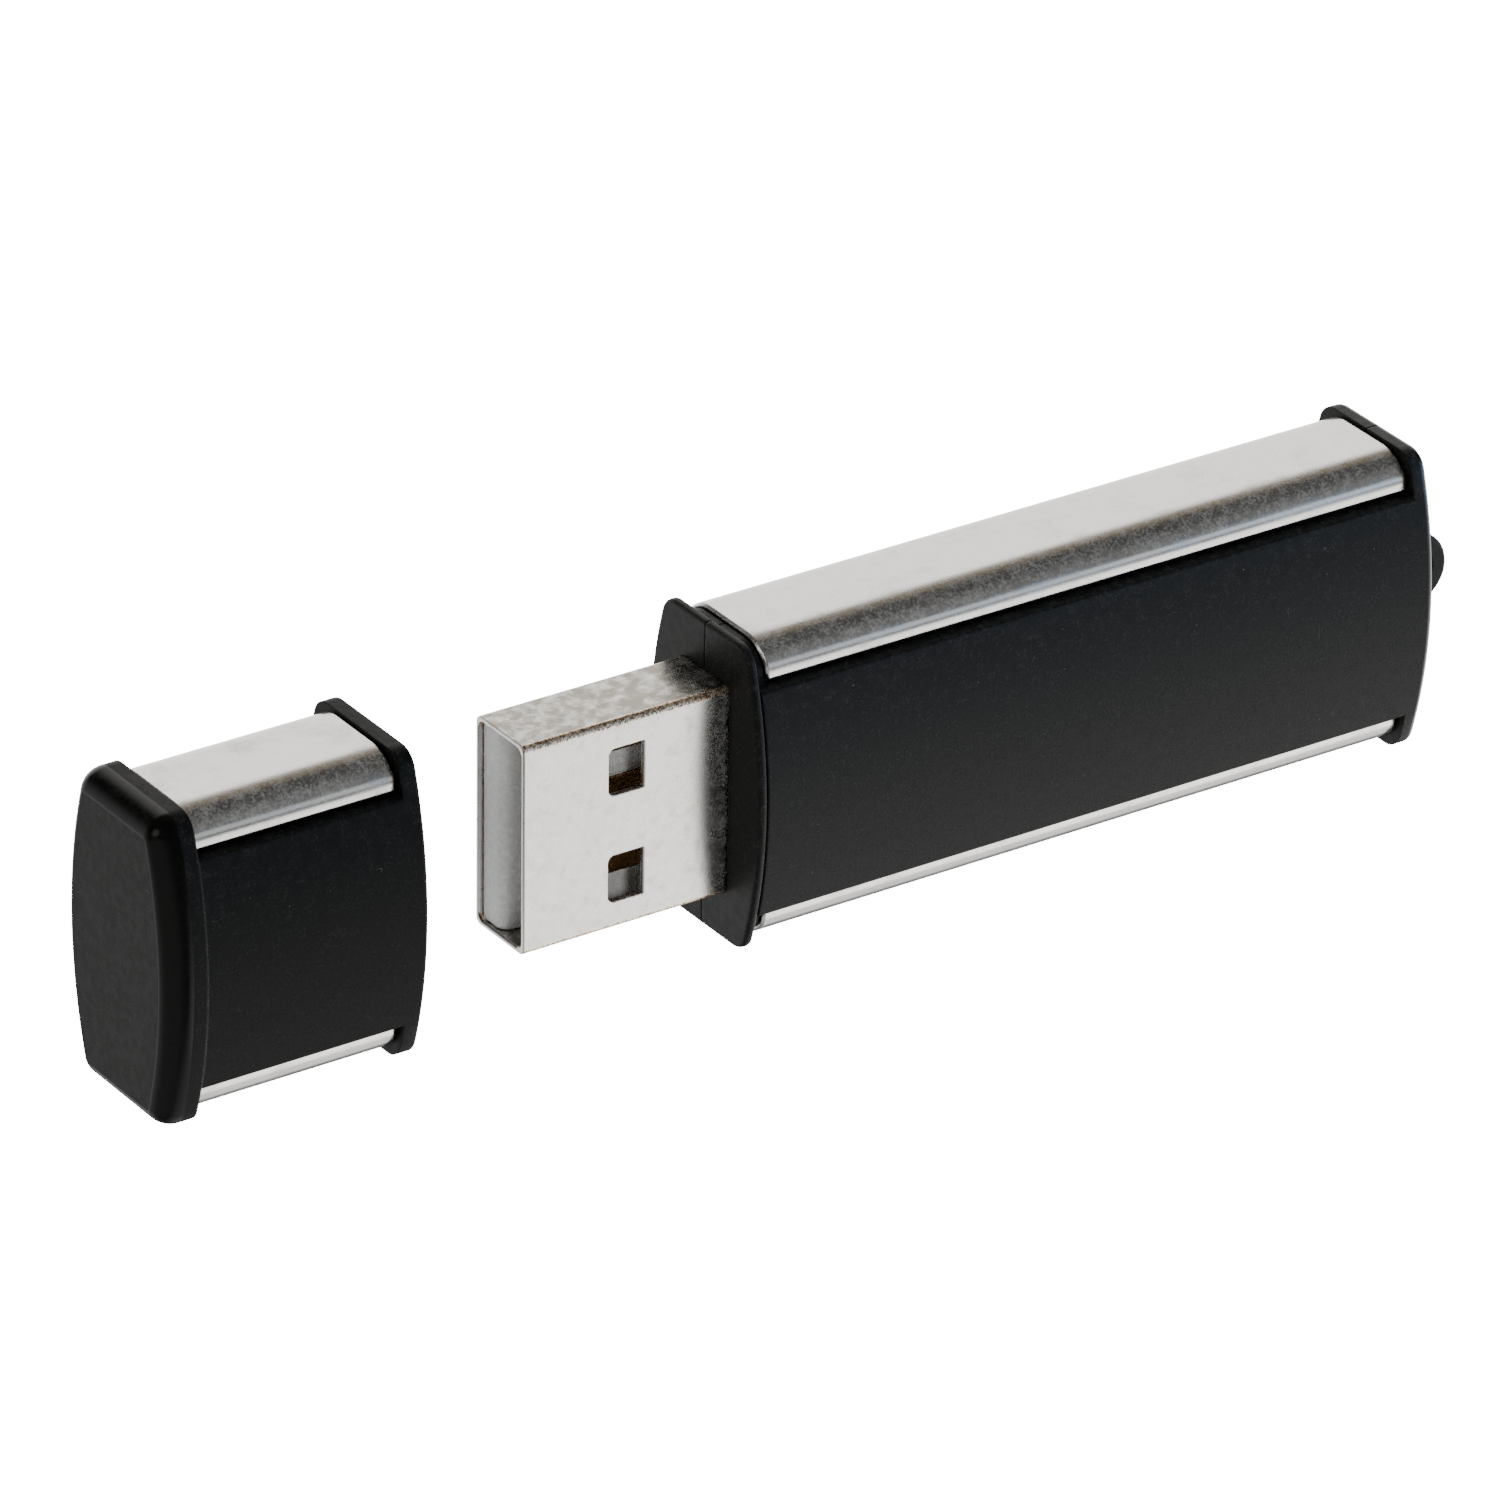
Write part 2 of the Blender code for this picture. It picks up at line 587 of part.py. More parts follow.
def build_small_components(shop):
    """Build the crystal, regulator, activity light, capacitors and resistors."""
    silver = material("crystal_can", (0.6, 0.6, 0.6), 0.25, 1.0)
    black = material("regulator_resin", (0.02, 0.02, 0.022), 0.55)
    clear = material("light_lens", (0.5, 0.7, 0.9), 0.2)
    tan = material("capacitor_ceramic", (0.35, 0.22, 0.12), 0.5)
    dark = material("resistor_ceramic", (0.03, 0.03, 0.035), 0.45)
    shop.part("crystal", block(*on_board(CRYSTAL_SIZE, CRYSTAL_CENTRE, 0.0, False)), silver)
    shop.part("voltage_regulator", block(*on_board(REGULATOR_SIZE, REGULATOR_CENTRE, 0.0, False)), black)
    shop.part("activity_light", block(*on_board(LED_SIZE, LED_CENTRE, 0.0, False)), clear)
    edge_z = BOARD_WIDTH / 2 - 2 * CAPACITOR_SIZE.z
    for number in range(CAPACITORS):
        x = CAPACITOR_START + number * CAPACITOR_PITCH
        name = f"capacitor_{number + 1}"
        shop.part(name, block(*on_board(CAPACITOR_SIZE, x, edge_z, True)), tan)
    for number in range(RESISTORS):
        x = RESISTOR_START + number * RESISTOR_PITCH
        name = f"resistor_{number + 1}"
        shop.part(name, block(*on_board(RESISTOR_SIZE, x, -edge_z, False)), dark)


def cap_end_mesh():
    """Return the closed end of the cap, with its broad rounding."""
    mesh = prism(flange_outline(), CAP_END_X, CAP_END_X + CAP_END_RIM)
    round_end(mesh, CAP_END_X, CAP_END_ROUND, 6)
    return mesh


def cap_mouth_mesh():
    """Return the flange round the cap's mouth."""
    mesh = prism(flange_outline(), CAP_MOUTH_X - CAP_MOUTH_FLANGE, CAP_MOUTH_X)
    round_end(mesh, CAP_MOUTH_X, FLANGE_EDGE_ROUND, 2)
    return mesh


def rib_corners():
    """Return the corners of the ribs that grip the plug inside the cap."""
    start = CAP_MOUTH_X - CAP_CAVITY_DEPTH - OVERLAP
    end = CAP_MOUTH_X - CAP_MOUTH_RECESS
    near = PLUG_THICKNESS / 2 + SLIDING_FIT
    far = BODY_THICKNESS / 2 - WALL
    half = RIB_THICKNESS / 2
    ribs = []
    for centre in (-RIB_OFFSET, RIB_OFFSET):
        ribs.append(((start, near, centre - half), (end, far, centre + half)))
        ribs.append(((start, -far, centre - half), (end, -near, centre + half)))
    near = PLUG_WIDTH / 2 + SLIDING_FIT
    far = CAP_CAVITY_WIDTH / 2 + OVERLAP
    ribs.append(((start, -half, near), (end, half, far)))
    ribs.append(((start, -half, -far), (end, half, -near)))
    return ribs


def build_cap(shop):
    """Build the one-piece cap with its cavity and the ribs that grip the plug."""
    black = material("cap_plastic", (0.012, 0.013, 0.014), 0.45)
    core = prism(core_outline(), CAP_END_X + OVERLAP, CAP_MOUTH_X - OVERLAP)
    cap = shop.part("cap_shell", core, black)
    panel_end = CAP_MOUTH_X - CAP_MOUTH_FLANGE + FIT
    shop.join(cap, "cap_panel", prism(panel_outline(), CAP_END_X + CAP_END_RIM - FIT, panel_end))
    shop.join(cap, "cap_end", cap_end_mesh())
    shop.join(cap, "cap_mouth", cap_mouth_mesh())
    cavity = barrel_outline(CAP_CAVITY_WIDTH / 2, CAP_CAVITY_CORNER, WALL)
    shop.cut(cap, "cap_cavity", prism(cavity, CAP_MOUTH_X - CAP_CAVITY_DEPTH, CAP_MOUTH_X + OVERLAP))
    for number, (low, high) in enumerate(rib_corners(), 1):
        shop.join(cap, f"cap_rib_{number}", block(low, high))


def main():
    """Build the whole drive."""
    clear_scene()
    shop = Workshop()
    build_housing(shop)
    build_bands(shop)
    build_plug_shell(shop)
    build_tongue(shop)
    build_contacts(shop)
    build_board(shop)
    build_chips(shop)
    build_small_components(shop)
    build_cap(shop)


main()
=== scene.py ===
"""Looks of a USB flash drive with steel bands and a slide-on cap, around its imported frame.

Lengths are in millimetres, counted from the middle of the collar face: X runs from the cap to the
lanyard lug, Y through the thickness and Z across the width. `Layout` turns them into metres.
"""

import logging
import math
from dataclasses import dataclass, field
from enum import Enum
from typing import Callable, Iterable, Sequence

import bmesh
import bpy
from mathutils import Matrix, Vector


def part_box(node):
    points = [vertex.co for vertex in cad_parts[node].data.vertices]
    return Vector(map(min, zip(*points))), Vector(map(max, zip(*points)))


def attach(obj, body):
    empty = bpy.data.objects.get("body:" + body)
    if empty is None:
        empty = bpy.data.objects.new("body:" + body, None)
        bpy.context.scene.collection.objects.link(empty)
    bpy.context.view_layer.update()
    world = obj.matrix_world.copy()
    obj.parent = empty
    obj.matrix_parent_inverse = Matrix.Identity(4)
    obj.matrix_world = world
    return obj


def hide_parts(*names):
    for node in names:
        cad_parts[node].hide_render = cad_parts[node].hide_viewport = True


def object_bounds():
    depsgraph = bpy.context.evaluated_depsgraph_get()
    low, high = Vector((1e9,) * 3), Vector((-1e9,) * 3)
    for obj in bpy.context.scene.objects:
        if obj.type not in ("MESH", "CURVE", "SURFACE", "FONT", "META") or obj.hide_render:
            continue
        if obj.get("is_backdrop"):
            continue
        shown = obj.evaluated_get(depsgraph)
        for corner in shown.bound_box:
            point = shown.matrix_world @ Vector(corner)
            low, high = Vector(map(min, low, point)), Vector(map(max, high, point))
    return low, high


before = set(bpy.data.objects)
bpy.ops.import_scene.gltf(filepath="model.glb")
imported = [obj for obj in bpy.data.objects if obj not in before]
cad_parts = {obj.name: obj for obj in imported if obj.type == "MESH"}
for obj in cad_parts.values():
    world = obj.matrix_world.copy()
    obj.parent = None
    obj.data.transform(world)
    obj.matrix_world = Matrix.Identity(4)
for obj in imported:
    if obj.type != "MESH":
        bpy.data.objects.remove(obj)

LOG = logging.getLogger("flash_drive")
CAD_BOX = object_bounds()
MM = 0.001
WELD = 0.0005
IN_PLANE = 0.002
SQUARE_LEAN = 0.97
SHARP_DEGREES = 28.0
FACE_AREA_WEIGHT = 60

Point = tuple[float, float]
Outline = list[Point]
Colour = tuple[float, float, float]
Socket = bpy.types.NodeSocket


class Body(Enum):
    """The two moving bodies of the frame."""

    DRIVE = "drive"
    CAP = "cap"


class Slot(Enum):
    """The record's material slots."""

    BLACK_PLASTIC = "black_plastic"
    CAP_PLASTIC = "cap_plastic"
    BRUSHED_STEEL = "brushed_steel"
    PLATED_STEEL = "plated_steel"
    WHITE_INSULATOR = "white_insulator"
    GOLD_CONTACT = "gold_contact"


class Operation(Enum):
    """What a tool does to a blank."""

    JOIN = "UNION"
    CUT = "DIFFERENCE"
    KEEP = "INTERSECT"


class Side(Enum):
    """The half of the housing on either side of the parting plane."""

    FRONT = -1
    BACK = 1


# --- Layout ---


@dataclass(frozen=True)
class Layout:
    """Where the frame's nodes are, in millimetres from the middle of the collar face."""

    origin: Vector

    @classmethod
    def from_frame(cls) -> "Layout":
        """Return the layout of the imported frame."""
        low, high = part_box("housing_front")
        return cls(Vector((low.x, 0.0, (low.z + high.z) / 2)))

    def box(self, node: str) -> tuple[Vector, Vector]:
        """Return the lowest and highest corner of a node.

        Args:
            node: The name of the frame's node.

        Returns:
            Both corners, in local millimetres.
        """
        low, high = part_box(node)
        return (low - self.origin) / MM, (high - self.origin) / MM

    def matrix(self) -> Matrix:
        """Return the change from local millimetres to the frame's metres."""
        return Matrix.Translation(self.origin) @ Matrix.Scale(MM, 4)

    def world(self, point: Sequence[float]) -> Vector:
        """Return a local point in the frame's metres."""
        return self.matrix() @ Vector(point)


LAYOUT = Layout.from_frame()


# --- Mesh bench ---


def arc(centre: Point, radius: float, start: float, end: float, steps: int) -> Outline:
    """Return the points of an arc.

    Args:
        centre: The arc's centre.
        radius: Its radius.
        start: The first angle, in radians.
        end: The last angle.
        steps: How many chords it has.

    Returns:
        The points, both ends included.
    """
    angles = [start + (end - start) * step / steps for step in range(steps + 1)]
    return [(centre[0] + radius * math.cos(a), centre[1] + radius * math.sin(a)) for a in angles]


def fillet(before: Point, corner: Point, after: Point, radius: float, steps: int = 6) -> Outline:
    """Return the arc that rounds one corner of an outline.

    Args:
        before: The point before the corner.
        corner: The corner itself.
        after: The point after it.
        radius: The rounding's radius.
        steps: How many chords it has.

    Returns:
        The points that take the corner's place.
    """
    middle = Vector(corner)
    towards = (Vector(before) - middle).normalized()
    onwards = (Vector(after) - middle).normalized()
    half_angle = towards.angle(onwards) / 2
    centre = middle + (towards + onwards).normalized() * (radius / math.sin(half_angle))
    reach = radius / math.tan(half_angle)
    start = middle + towards * reach - centre
    turn = start.angle_signed(middle + onwards * reach - centre)
    first = math.atan2(start.y, start.x)
    return arc((centre.x, centre.y), radius, first, first - turn, steps)


def rounded(corners: Outline, radii: Sequence[float], steps: int = 6) -> Outline:
    """Return a closed outline with its corners rounded.

    Args:
        corners: The sharp corners in order.
        radii: One radius for each corner.
        steps: How many chords each rounding has.

    Returns:
        The rounded outline.
    """
    points: Outline = []
    for index, corner in enumerate(corners):
        following = corners[(index + 1) % len(corners)]
        points.extend(fillet(corners[index - 1], corner, following, radii[index], steps))
    return points


def ribbon(path: Outline, half_width: float) -> Outline:
    """Return a thin closed outline around an open path.

    Args:
        path: The path's points.
        half_width: How far the outline stays from the path.

    Returns:
        One side of the path, then the other side backwards.
    """
    sides: tuple[Outline, Outline] = ([], [])
    for index, point in enumerate(path):
        middle = Vector(point)
        before = (middle - Vector(path[index - 1])).normalized() if index else None
        after = (Vector(path[index + 1]) - middle).normalized() if index + 1 < len(path) else before
        before = before or after
        across = (before + after).normalized().orthogonal()
        reach = half_width / max(across.dot(before.orthogonal()), 0.3)
        for side, sign in zip(sides, (1.0, -1.0)):
            side.append(tuple(middle + across * reach * sign))
    return sides[0] + list(reversed(sides[1]))


def mirrored(half: Outline) -> Outline:
    """Return a closed outline from its half at positive y."""
    return half + [(-y, z) for y, z in reversed(half)]


def rectangle(half_y: float, half_z: float) -> Outline:
    """Return the corners of a centred rectangle."""
    return [(half_y, -half_z), (half_y, half_z), (-half_y, half_z), (-half_y, -half_z)]


def extruded(points: Iterable[Sequence[float]], travel: Sequence[float]) -> bmesh.types.BMesh:
    """Return a flat closed outline swept along a vector.

    Args:
        points: The outline's points in space.
        travel: The way and length of the sweep.

    Returns:
        A closed mesh.
    """
    mesh = bmesh.new()
    face = mesh.faces.new([mesh.verts.new(point) for point in points])
    swept = bmesh.ops.extrude_face_region(mesh, geom=[face])
    moved = [item for item in swept["geom"] if isinstance(item, bmesh.types.BMVert)]
    bmesh.ops.translate(mesh, verts=moved, vec=travel)
    return mesh


def along_x(outline: Outline, start: float, end: float) -> bmesh.types.BMesh:
    """Return a (y, z) outline swept along X from start to end."""
    return extruded([(start, y, z) for y, z in outline], (end - start, 0.0, 0.0))


def along_y(outline: Outline, start: float, end: float) -> bmesh.types.BMesh:
    """Return an (x, z) outline swept along Y from start to end."""
    return extruded([(x, start, z) for x, z in outline], (0.0, end - start, 0.0))


def loft(stations: Sequence[tuple[float, Outline]]) -> bmesh.types.BMesh:
    """Return a closed mesh through sections that stand along X.

    Args:
        stations: Each section's place and its (y, z) outline; all have the same number of points.

    Returns:
        The closed mesh, with flat ends.
    """
    mesh = bmesh.new()
    rings = [[mesh.verts.new((x, y, z)) for y, z in outline] for x, outline in stations]
    for near, far in zip(rings, rings[1:]):
        for index in range(len(near)):
            behind = index - 1
            mesh.faces.new((near[behind], near[index], far[index], far[behind]))
    mesh.faces.new(rings[0])
    mesh.faces.new(list(reversed(rings[-1])))
    return mesh


def round_edges(
    mesh: bmesh.types.BMesh, edges: Sequence[bmesh.types.BMEdge], radius: float, steps: int
) -> None:
    """Round some edges of a mesh.

    Args:
        mesh: The mesh that is worked on.
        edges: Its edges to round.
        radius: The rounding's width.
        steps: How many chords it has.
    """
    bmesh.ops.bevel(mesh, geom=edges, offset=radius, segments=steps, profile=0.5, affect="EDGES")


def block(
    low: Sequence[float], high: Sequence[float], radius: float = 0.0, steps: int = 3
) -> bmesh.types.BMesh:
    """Return a box.

    Args:
        low: Its lowest corner.
        high: Its highest corner.
        radius: The rounding of all edges, or 0 for sharp ones.
        steps: How many chords the rounding has.

    Returns:
        The closed mesh.
    """
    base = [(low[0], low[2]), (high[0], low[2]), (high[0], high[2]), (low[0], high[2])]
    mesh = along_y(base, low[1], high[1])
    if radius > 0.0:
        round_edges(mesh, mesh.edges[:], radius, steps)
    return mesh


def scene_object(name: str, mesh: bmesh.types.BMesh) -> bpy.types.Object:
    """Link a bmesh to the scene as an object, and free it.

    Args:
        name: The object's name.
        mesh: The mesh that it gets.

    Returns:
        The object.
    """
    bmesh.ops.recalc_face_normals(mesh, faces=mesh.faces[:])
    data = bpy.data.meshes.new(name)
    mesh.to_mesh(data)
    mesh.free()
    item = bpy.data.objects.new(name, data)
    bpy.context.scene.collection.objects.link(item)
    return item


class Blank:
    """A solid that is joined and cut with tools, and then frozen into one mesh."""

    def __init__(self, name: str, mesh: bmesh.types.BMesh) -> None:
        """Start from a first solid.

        Args:
            name: The name of the piece that it becomes.
            mesh: The first solid.
        """
        self.name = name
        self.item = scene_object(name + "_blank", mesh)
        self.tools: list[bpy.types.Object] = []

    def use(self, operation: Operation, mesh: bmesh.types.BMesh) -> "Blank":
        """Join, cut or keep with one more solid.

        Args:
            operation: What the solid does to the blank.
            mesh: The solid.

        Returns:
            The blank itself.
        """
        tool = scene_object(f"{self.name}_tool_{len(self.tools)}", mesh)
        modifier = self.item.modifiers.new(tool.name, "BOOLEAN")
        modifier.operation = operation.value
        modifier.solver = "EXACT"
        modifier.object = tool
        self.tools.append(tool)
        return self

    def solid(self) -> bmesh.types.BMesh:
        """Return the worked solid as a bmesh, and clear the blank and its tools away."""
        graph = bpy.context.evaluated_depsgraph_get()
        worked = bpy.data.meshes.new_from_object(self.item.evaluated_get(graph))
        mesh = bmesh.new()
        mesh.from_mesh(worked)
        bpy.data.meshes.remove(worked)
        for item in (self.item, *self.tools):
            bpy.data.objects.remove(item, do_unlink=True)
        return mesh


def flat_faces(mesh: bmesh.types.BMesh, axis: int, place: float) -> list[bmesh.types.BMFace]:
    """Return the faces of a mesh that lie in one plane.

    Args:
        mesh: The mesh to look through.
        axis: The plane's axis, 0 to 2.
        place: Where the plane stands on that axis.

    Returns:
        The faces whose corners all lie in the plane.
    """
    return [f for f in mesh.faces if all(abs(v.co[axis] - place) < IN_PLANE for v in f.verts)]


def chamfer_rim(mesh: bmesh.types.BMesh, axis: int, place: float, width: float) -> None:
    """Chamfer the outer edges of the faces that lie in one plane.

    Args:
        mesh: The mesh that is worked on.
        axis: The plane's axis, 0 to 2.
        place: Where the plane stands on that axis.
        width: The chamfer's width.
    """
    chosen = set(flat_faces(mesh, axis, place))
    shared = [edge for edge in mesh.edges if len(edge.link_faces) == 2]
    rims = [edge for edge in shared if len(chosen.intersection(edge.link_faces)) == 1]
    bmesh.ops.bevel(
        mesh, geom=rims, offset=width, segments=1, profile=0.5, affect="EDGES", clamp_overlap=True
    )


def place_piece(
    name: str,
    mesh: bmesh.types.BMesh,
    finish: bpy.types.Material,
    body: Body,
    stands_for: str,
) -> bpy.types.Object:
    """Move a mesh into the frame, dress it and let it ride on its body.

    Args:
        name: The piece's name.
        mesh: Its mesh in local millimetres; it is freed.
        finish: Its material.
        body: The body that it rides on.
        stands_for: The frame's node that it replaces.

    Returns:
        The new piece.
    """
    bmesh.ops.remove_doubles(mesh, verts=mesh.verts[:], dist=WELD)
    bmesh.ops.transform(mesh, matrix=LAYOUT.matrix(), verts=mesh.verts[:])
    item = scene_object(name, mesh)
    item.data.shade_smooth()
    item.data.set_sharp_from_angle(angle=math.radians(SHARP_DEGREES))
    item.data.materials.append(finish)
    even = item.modifiers.new("even_normals", "WEIGHTED_NORMAL")
    even.keep_sharp = True
    even.weight = FACE_AREA_WEIGHT
    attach(item, body.value)
    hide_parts(stands_for)
    LOG.info("%s: %d faces on %s", name, len(item.data.polygons), body.value)
    return item


def polish_faces(
    piece: bpy.types.Object, polish: bpy.types.Material, start: float, end: float, least_lean: float
) -> None:
    """Give the faces of a rolled edge a second finish.

    Args:
        piece: The placed piece.
        polish: The finish of the edge.
        start: Where the edge starts along X, in local millimetres.
        end: Where it ends.
        least_lean: How far a face leans along X at least; faces square to X keep their finish.
    """
    piece.data.materials.append(polish)
    reach = [LAYOUT.world((x, 0.0, 0.0)).x for x in (start, end)]
    for face in piece.data.polygons:
        if reach[0] < face.center.x < reach[1] and least_lean <= abs(face.normal.x) < SQUARE_LEAN:
            face.material_index = 1


# --- Node bench ---


class NodeBench:
    """Adds and wires the nodes of one tree."""

    MIX_INPUTS = (0, 6, 7)
    MIX_OUTPUT = 2

    def __init__(self, tree: bpy.types.NodeTree) -> None:
        """Work on the given tree."""
        self.tree = tree

    def add(self, kind: str, **settings: object) -> bpy.types.Node:
        """Add a node.

        Args:
            kind: The node's type.
            **settings: Values for its own properties.

        Returns:
            The node.
        """
        node = self.tree.nodes.new(kind)
        for key, value in settings.items():
            setattr(node, key, value)
        return node

    def feed(self, target: Socket, value: object) -> None:
        """Wire a socket or set a constant on an input.

        Args:
            target: The input.
            value: An output to wire to it, or a constant.
        """
        if isinstance(value, bpy.types.NodeSocket):
            self.tree.links.new(value, target)
        else:
            target.default_value = value

    def math(self, operation: str, *values: object) -> Socket:
        """Return the result of a math node.

        Args:
            operation: The node's operation.
            *values: Its inputs in order.

        Returns:
            The result.
        """
        node = self.add("ShaderNodeMath", operation=operation)
        for socket, value in zip(node.inputs, values):
            self.feed(socket, value)
        return node.outputs[0]

    def span(self, value: object, low: object, high: object) -> Socket:
        """Return a value mapped smoothly from a span to 0 and 1.

        Args:
            value: The value.
            low: What becomes 0.
            high: What becomes 1; it may be the lower of the two.

        Returns:
            The mapped value.
        """
        node = self.add("ShaderNodeMapRange", interpolation_type="SMOOTHSTEP")
        for socket, item in zip(node.inputs, (value, low, high, 0.0, 1.0)):
            self.feed(socket, item)
        return node.outputs[0]

    def blend(self, factor: object, first: object, second: object) -> Socket:
        """Return a mix of two colours.

        Args:
            factor: How much of the second colour there is.
            first: The first colour.
            second: The second colour.

        Returns:
            The mixed colour.
        """
        node = self.add("ShaderNodeMix", data_type="RGBA")
        for place, value in zip(self.MIX_INPUTS, (factor, first, second)):
            self.feed(node.inputs[place], value)
        return node.outputs[self.MIX_OUTPUT]

    def noise(
        self,
        vector: Socket,
        scale: object,
        detail: float = 2.0,
        roughness: float = 0.5,
        output: str = "Fac",
    ) -> Socket:
        """Return an output of a noise texture.

        Args:
            vector: The coordinates.
            scale: How many blotches there are to a unit.
            detail: How many finer layers it has.
            roughness: How strong these are.
            output: The output to return.

        Returns:
            The noise.
        """
        node = self.add("ShaderNodeTexNoise")
        inputs = {"Vector": vector, "Scale": scale, "Detail": detail, "Roughness": roughness}
        for name, value in inputs.items():
            self.feed(node.inputs[name], value)
        return node.outputs[output]

    def vector(
        self, operation: str, first: object, second: object, output: str = "Vector"
    ) -> Socket:
        """Return the result of a vector math node.

        Args:
            operation: The node's operation.
            first: Its first input.
            second: Its second input.
            output: The output to return.

        Returns:
            The result.
        """
        node = self.add("ShaderNodeVectorMath", operation=operation)
        self.feed(node.inputs[0], first)
        self.feed(node.inputs[1], second)
        return node.outputs[output]

    def parts(self, vector: Socket) -> bpy.types.NodeOutputs:
        """Split a vector.

        Args:
            vector: The vector.

        Returns:
            Its X, Y and Z outputs.
        """
        node = self.add("ShaderNodeSeparateXYZ")
        self.feed(node.inputs[0], vector)
        return node.outputs

    def facing(self) -> bpy.types.NodeOutputs:
        """Return the X, Y and Z parts of the surface's own normal."""
        return self.parts(self.add("ShaderNodeTexCoord").outputs["Normal"])

    def millimetres(self) -> Socket:
        """Return the object's own coordinates in millimetres."""
        place = self.add("ShaderNodeTexCoord")
        return self.vector("MULTIPLY", place.outputs["Object"], (1 / MM, 1 / MM, 1 / MM))


class GroupBench(NodeBench):
    """Adds and wires the nodes of one group, between its named inputs and outputs."""

    def __init__(self, tree: bpy.types.NodeTree) -> None:
        """Work on the given group's tree.

        Args:
            tree: The tree; it gets its input and its output node.
        """
        super().__init__(tree)
        self.ports = self.add("NodeGroupInput")
        self.ends = self.add("NodeGroupOutput")

    def port(self, name: str) -> Socket:
        """Return a named input of the group."""
        return self.ports.outputs[name]

    def end(self, name: str, value: Socket) -> None:
        """Wire a value to a named output of the group."""
        self.feed(self.ends.inputs[name], value)


@dataclass(frozen=True)
class GroupPort:
    """One named input of a node group."""

    name: str
    default: float


@dataclass(frozen=True)
class EffectGroup:
    """A surface effect that several finishes share, as a node group."""

    name: str
    inputs: tuple[GroupPort, ...]
    outputs: tuple[str, ...]
    wire: Callable[[GroupBench], None]

    def tree(self) -> bpy.types.NodeTree:
        """Return the group's tree, made on first use."""
        known = bpy.data.node_groups.get(self.name)
        if known:
            return known
        made = bpy.data.node_groups.new(self.name, "ShaderNodeTree")
        for port in self.inputs:
            made.interface.new_socket(port.name, in_out="INPUT", socket_type="NodeSocketFloat")
        for name in self.outputs:
            kind = "NodeSocketVector" if name == "Normal" else "NodeSocketFloat"
            made.interface.new_socket(name, in_out="OUTPUT", socket_type=kind)
        self.wire(GroupBench(made))
        return made

    def place(self, bench: NodeBench, **values: float) -> bpy.types.Node:
        """Place the group in a material.

        Args:
            bench: The material's node bench.
            **values: Values for named inputs; the others keep their defaults.

        Returns:
            The group node.
        """
        node = bench.add("ShaderNodeGroup", node_tree=self.tree())
        for port in self.inputs:
            node.inputs[port.name].default_value = values.get(port.name, port.default)
        return node


def wire_grain(bench: GroupBench) -> None:
    """Wire a fine moulded grain: a height for bump, and a tone for colour and gloss.

    Args:
        bench: The group's node bench.
    """
    coarse_scale, fine_share, dark, light = 0.23, 0.7, 0.3, 0.7
    place = bench.millimetres()
    fine = bench.noise(place, bench.port("Scale"), detail=3.0, roughness=0.6)
    wide = bench.math("MULTIPLY", bench.port("Scale"), coarse_scale)
    coarse = bench.noise(place, wide, detail=1.0)
    rest = bench.math("MULTIPLY", coarse, 1.0 - fine_share)
    bench.end("Height", bench.math("MULTIPLY_ADD", fine, fine_share, rest))
    bench.end("Tone", bench.span(coarse, dark, light))


def wire_streaks(bench: GroupBench) -> None:
    """Wire brushing lines that run along X: a height, and a tone for gloss.

    Args:
        bench: The group's node bench.
    """
    dark, light = 0.35, 0.65
    across = bench.math("DIVIDE", 1.0, bench.port("Pitch"))
    along = bench.math("DIVIDE", 1.0, bench.port("Length"))
    factors = bench.add("ShaderNodeCombineXYZ")
    for socket, value in zip(factors.inputs, (along, across, across)):
        bench.feed(socket, value)
    place = bench.vector("MULTIPLY", bench.millimetres(), factors.outputs[0])
    lines = bench.noise(place, 1.0, detail=3.0, roughness=0.65)
    bench.end("Height", lines)
    bench.end("Tone", bench.span(lines, dark, light))


def wire_smudges(bench: GroupBench) -> None:
    """Wire soft blotches, as fingers and storage leave them.

    Args:
        bench: The group's node bench.
    """
    swirl_scale = 0.6
    place = bench.millimetres()
    pitch = bench.math("MULTIPLY", bench.port("Scale"), swirl_scale)
    warped = bench.vector("ADD", place, bench.noise(place, pitch, output="Color"))
    cloud = bench.noise(warped, bench.port("Scale"), detail=4.0, roughness=0.6)
    bench.end("Mask", bench.span(cloud, bench.port("From"), bench.port("To")))


def wire_specks(bench: GroupBench) -> None:
    """Wire sparse small specks, such as dust or pits.

    Args:
        bench: The group's node bench.
    """
    cells = bench.add("ShaderNodeTexVoronoi")
    bench.feed(cells.inputs["Vector"], bench.millimetres())
    bench.feed(cells.inputs["Scale"], bench.port("Scale"))
    dot = bench.span(cells.outputs["Distance"], bench.port("Size"), 0.0)
    chance = bench.add("ShaderNodeSeparateColor")
    bench.feed(chance.inputs[0], cells.outputs["Color"])
    chosen = bench.math("LESS_THAN", chance.outputs["Red"], bench.port("Share"))
    faint = bench.math("MULTIPLY", dot, chance.outputs["Green"])
    bench.end("Mask", bench.math("MULTIPLY", faint, chosen))


def wire_scratches(bench: GroupBench) -> None:
    """Wire thin wandering lines: hair scratches and fibres.

    Args:
        bench: The group's node bench.
    """
    patch_scale, middle, patch_full = 1.7, 0.5, 0.75
    place = bench.millimetres()
    path = bench.noise(place, bench.port("Scale"), detail=1.0, roughness=0.4)
    off_line = bench.math("ABSOLUTE", bench.math("SUBTRACT", path, middle))
    line = bench.span(off_line, bench.port("Width"), 0.0)
    where = bench.noise(place, bench.math("MULTIPLY", bench.port("Scale"), patch_scale), detail=1.0)
    patch = bench.span(where, bench.math("SUBTRACT", 1.0, bench.port("Share")), patch_full)
    bench.end("Mask", bench.math("MULTIPLY", line, patch))


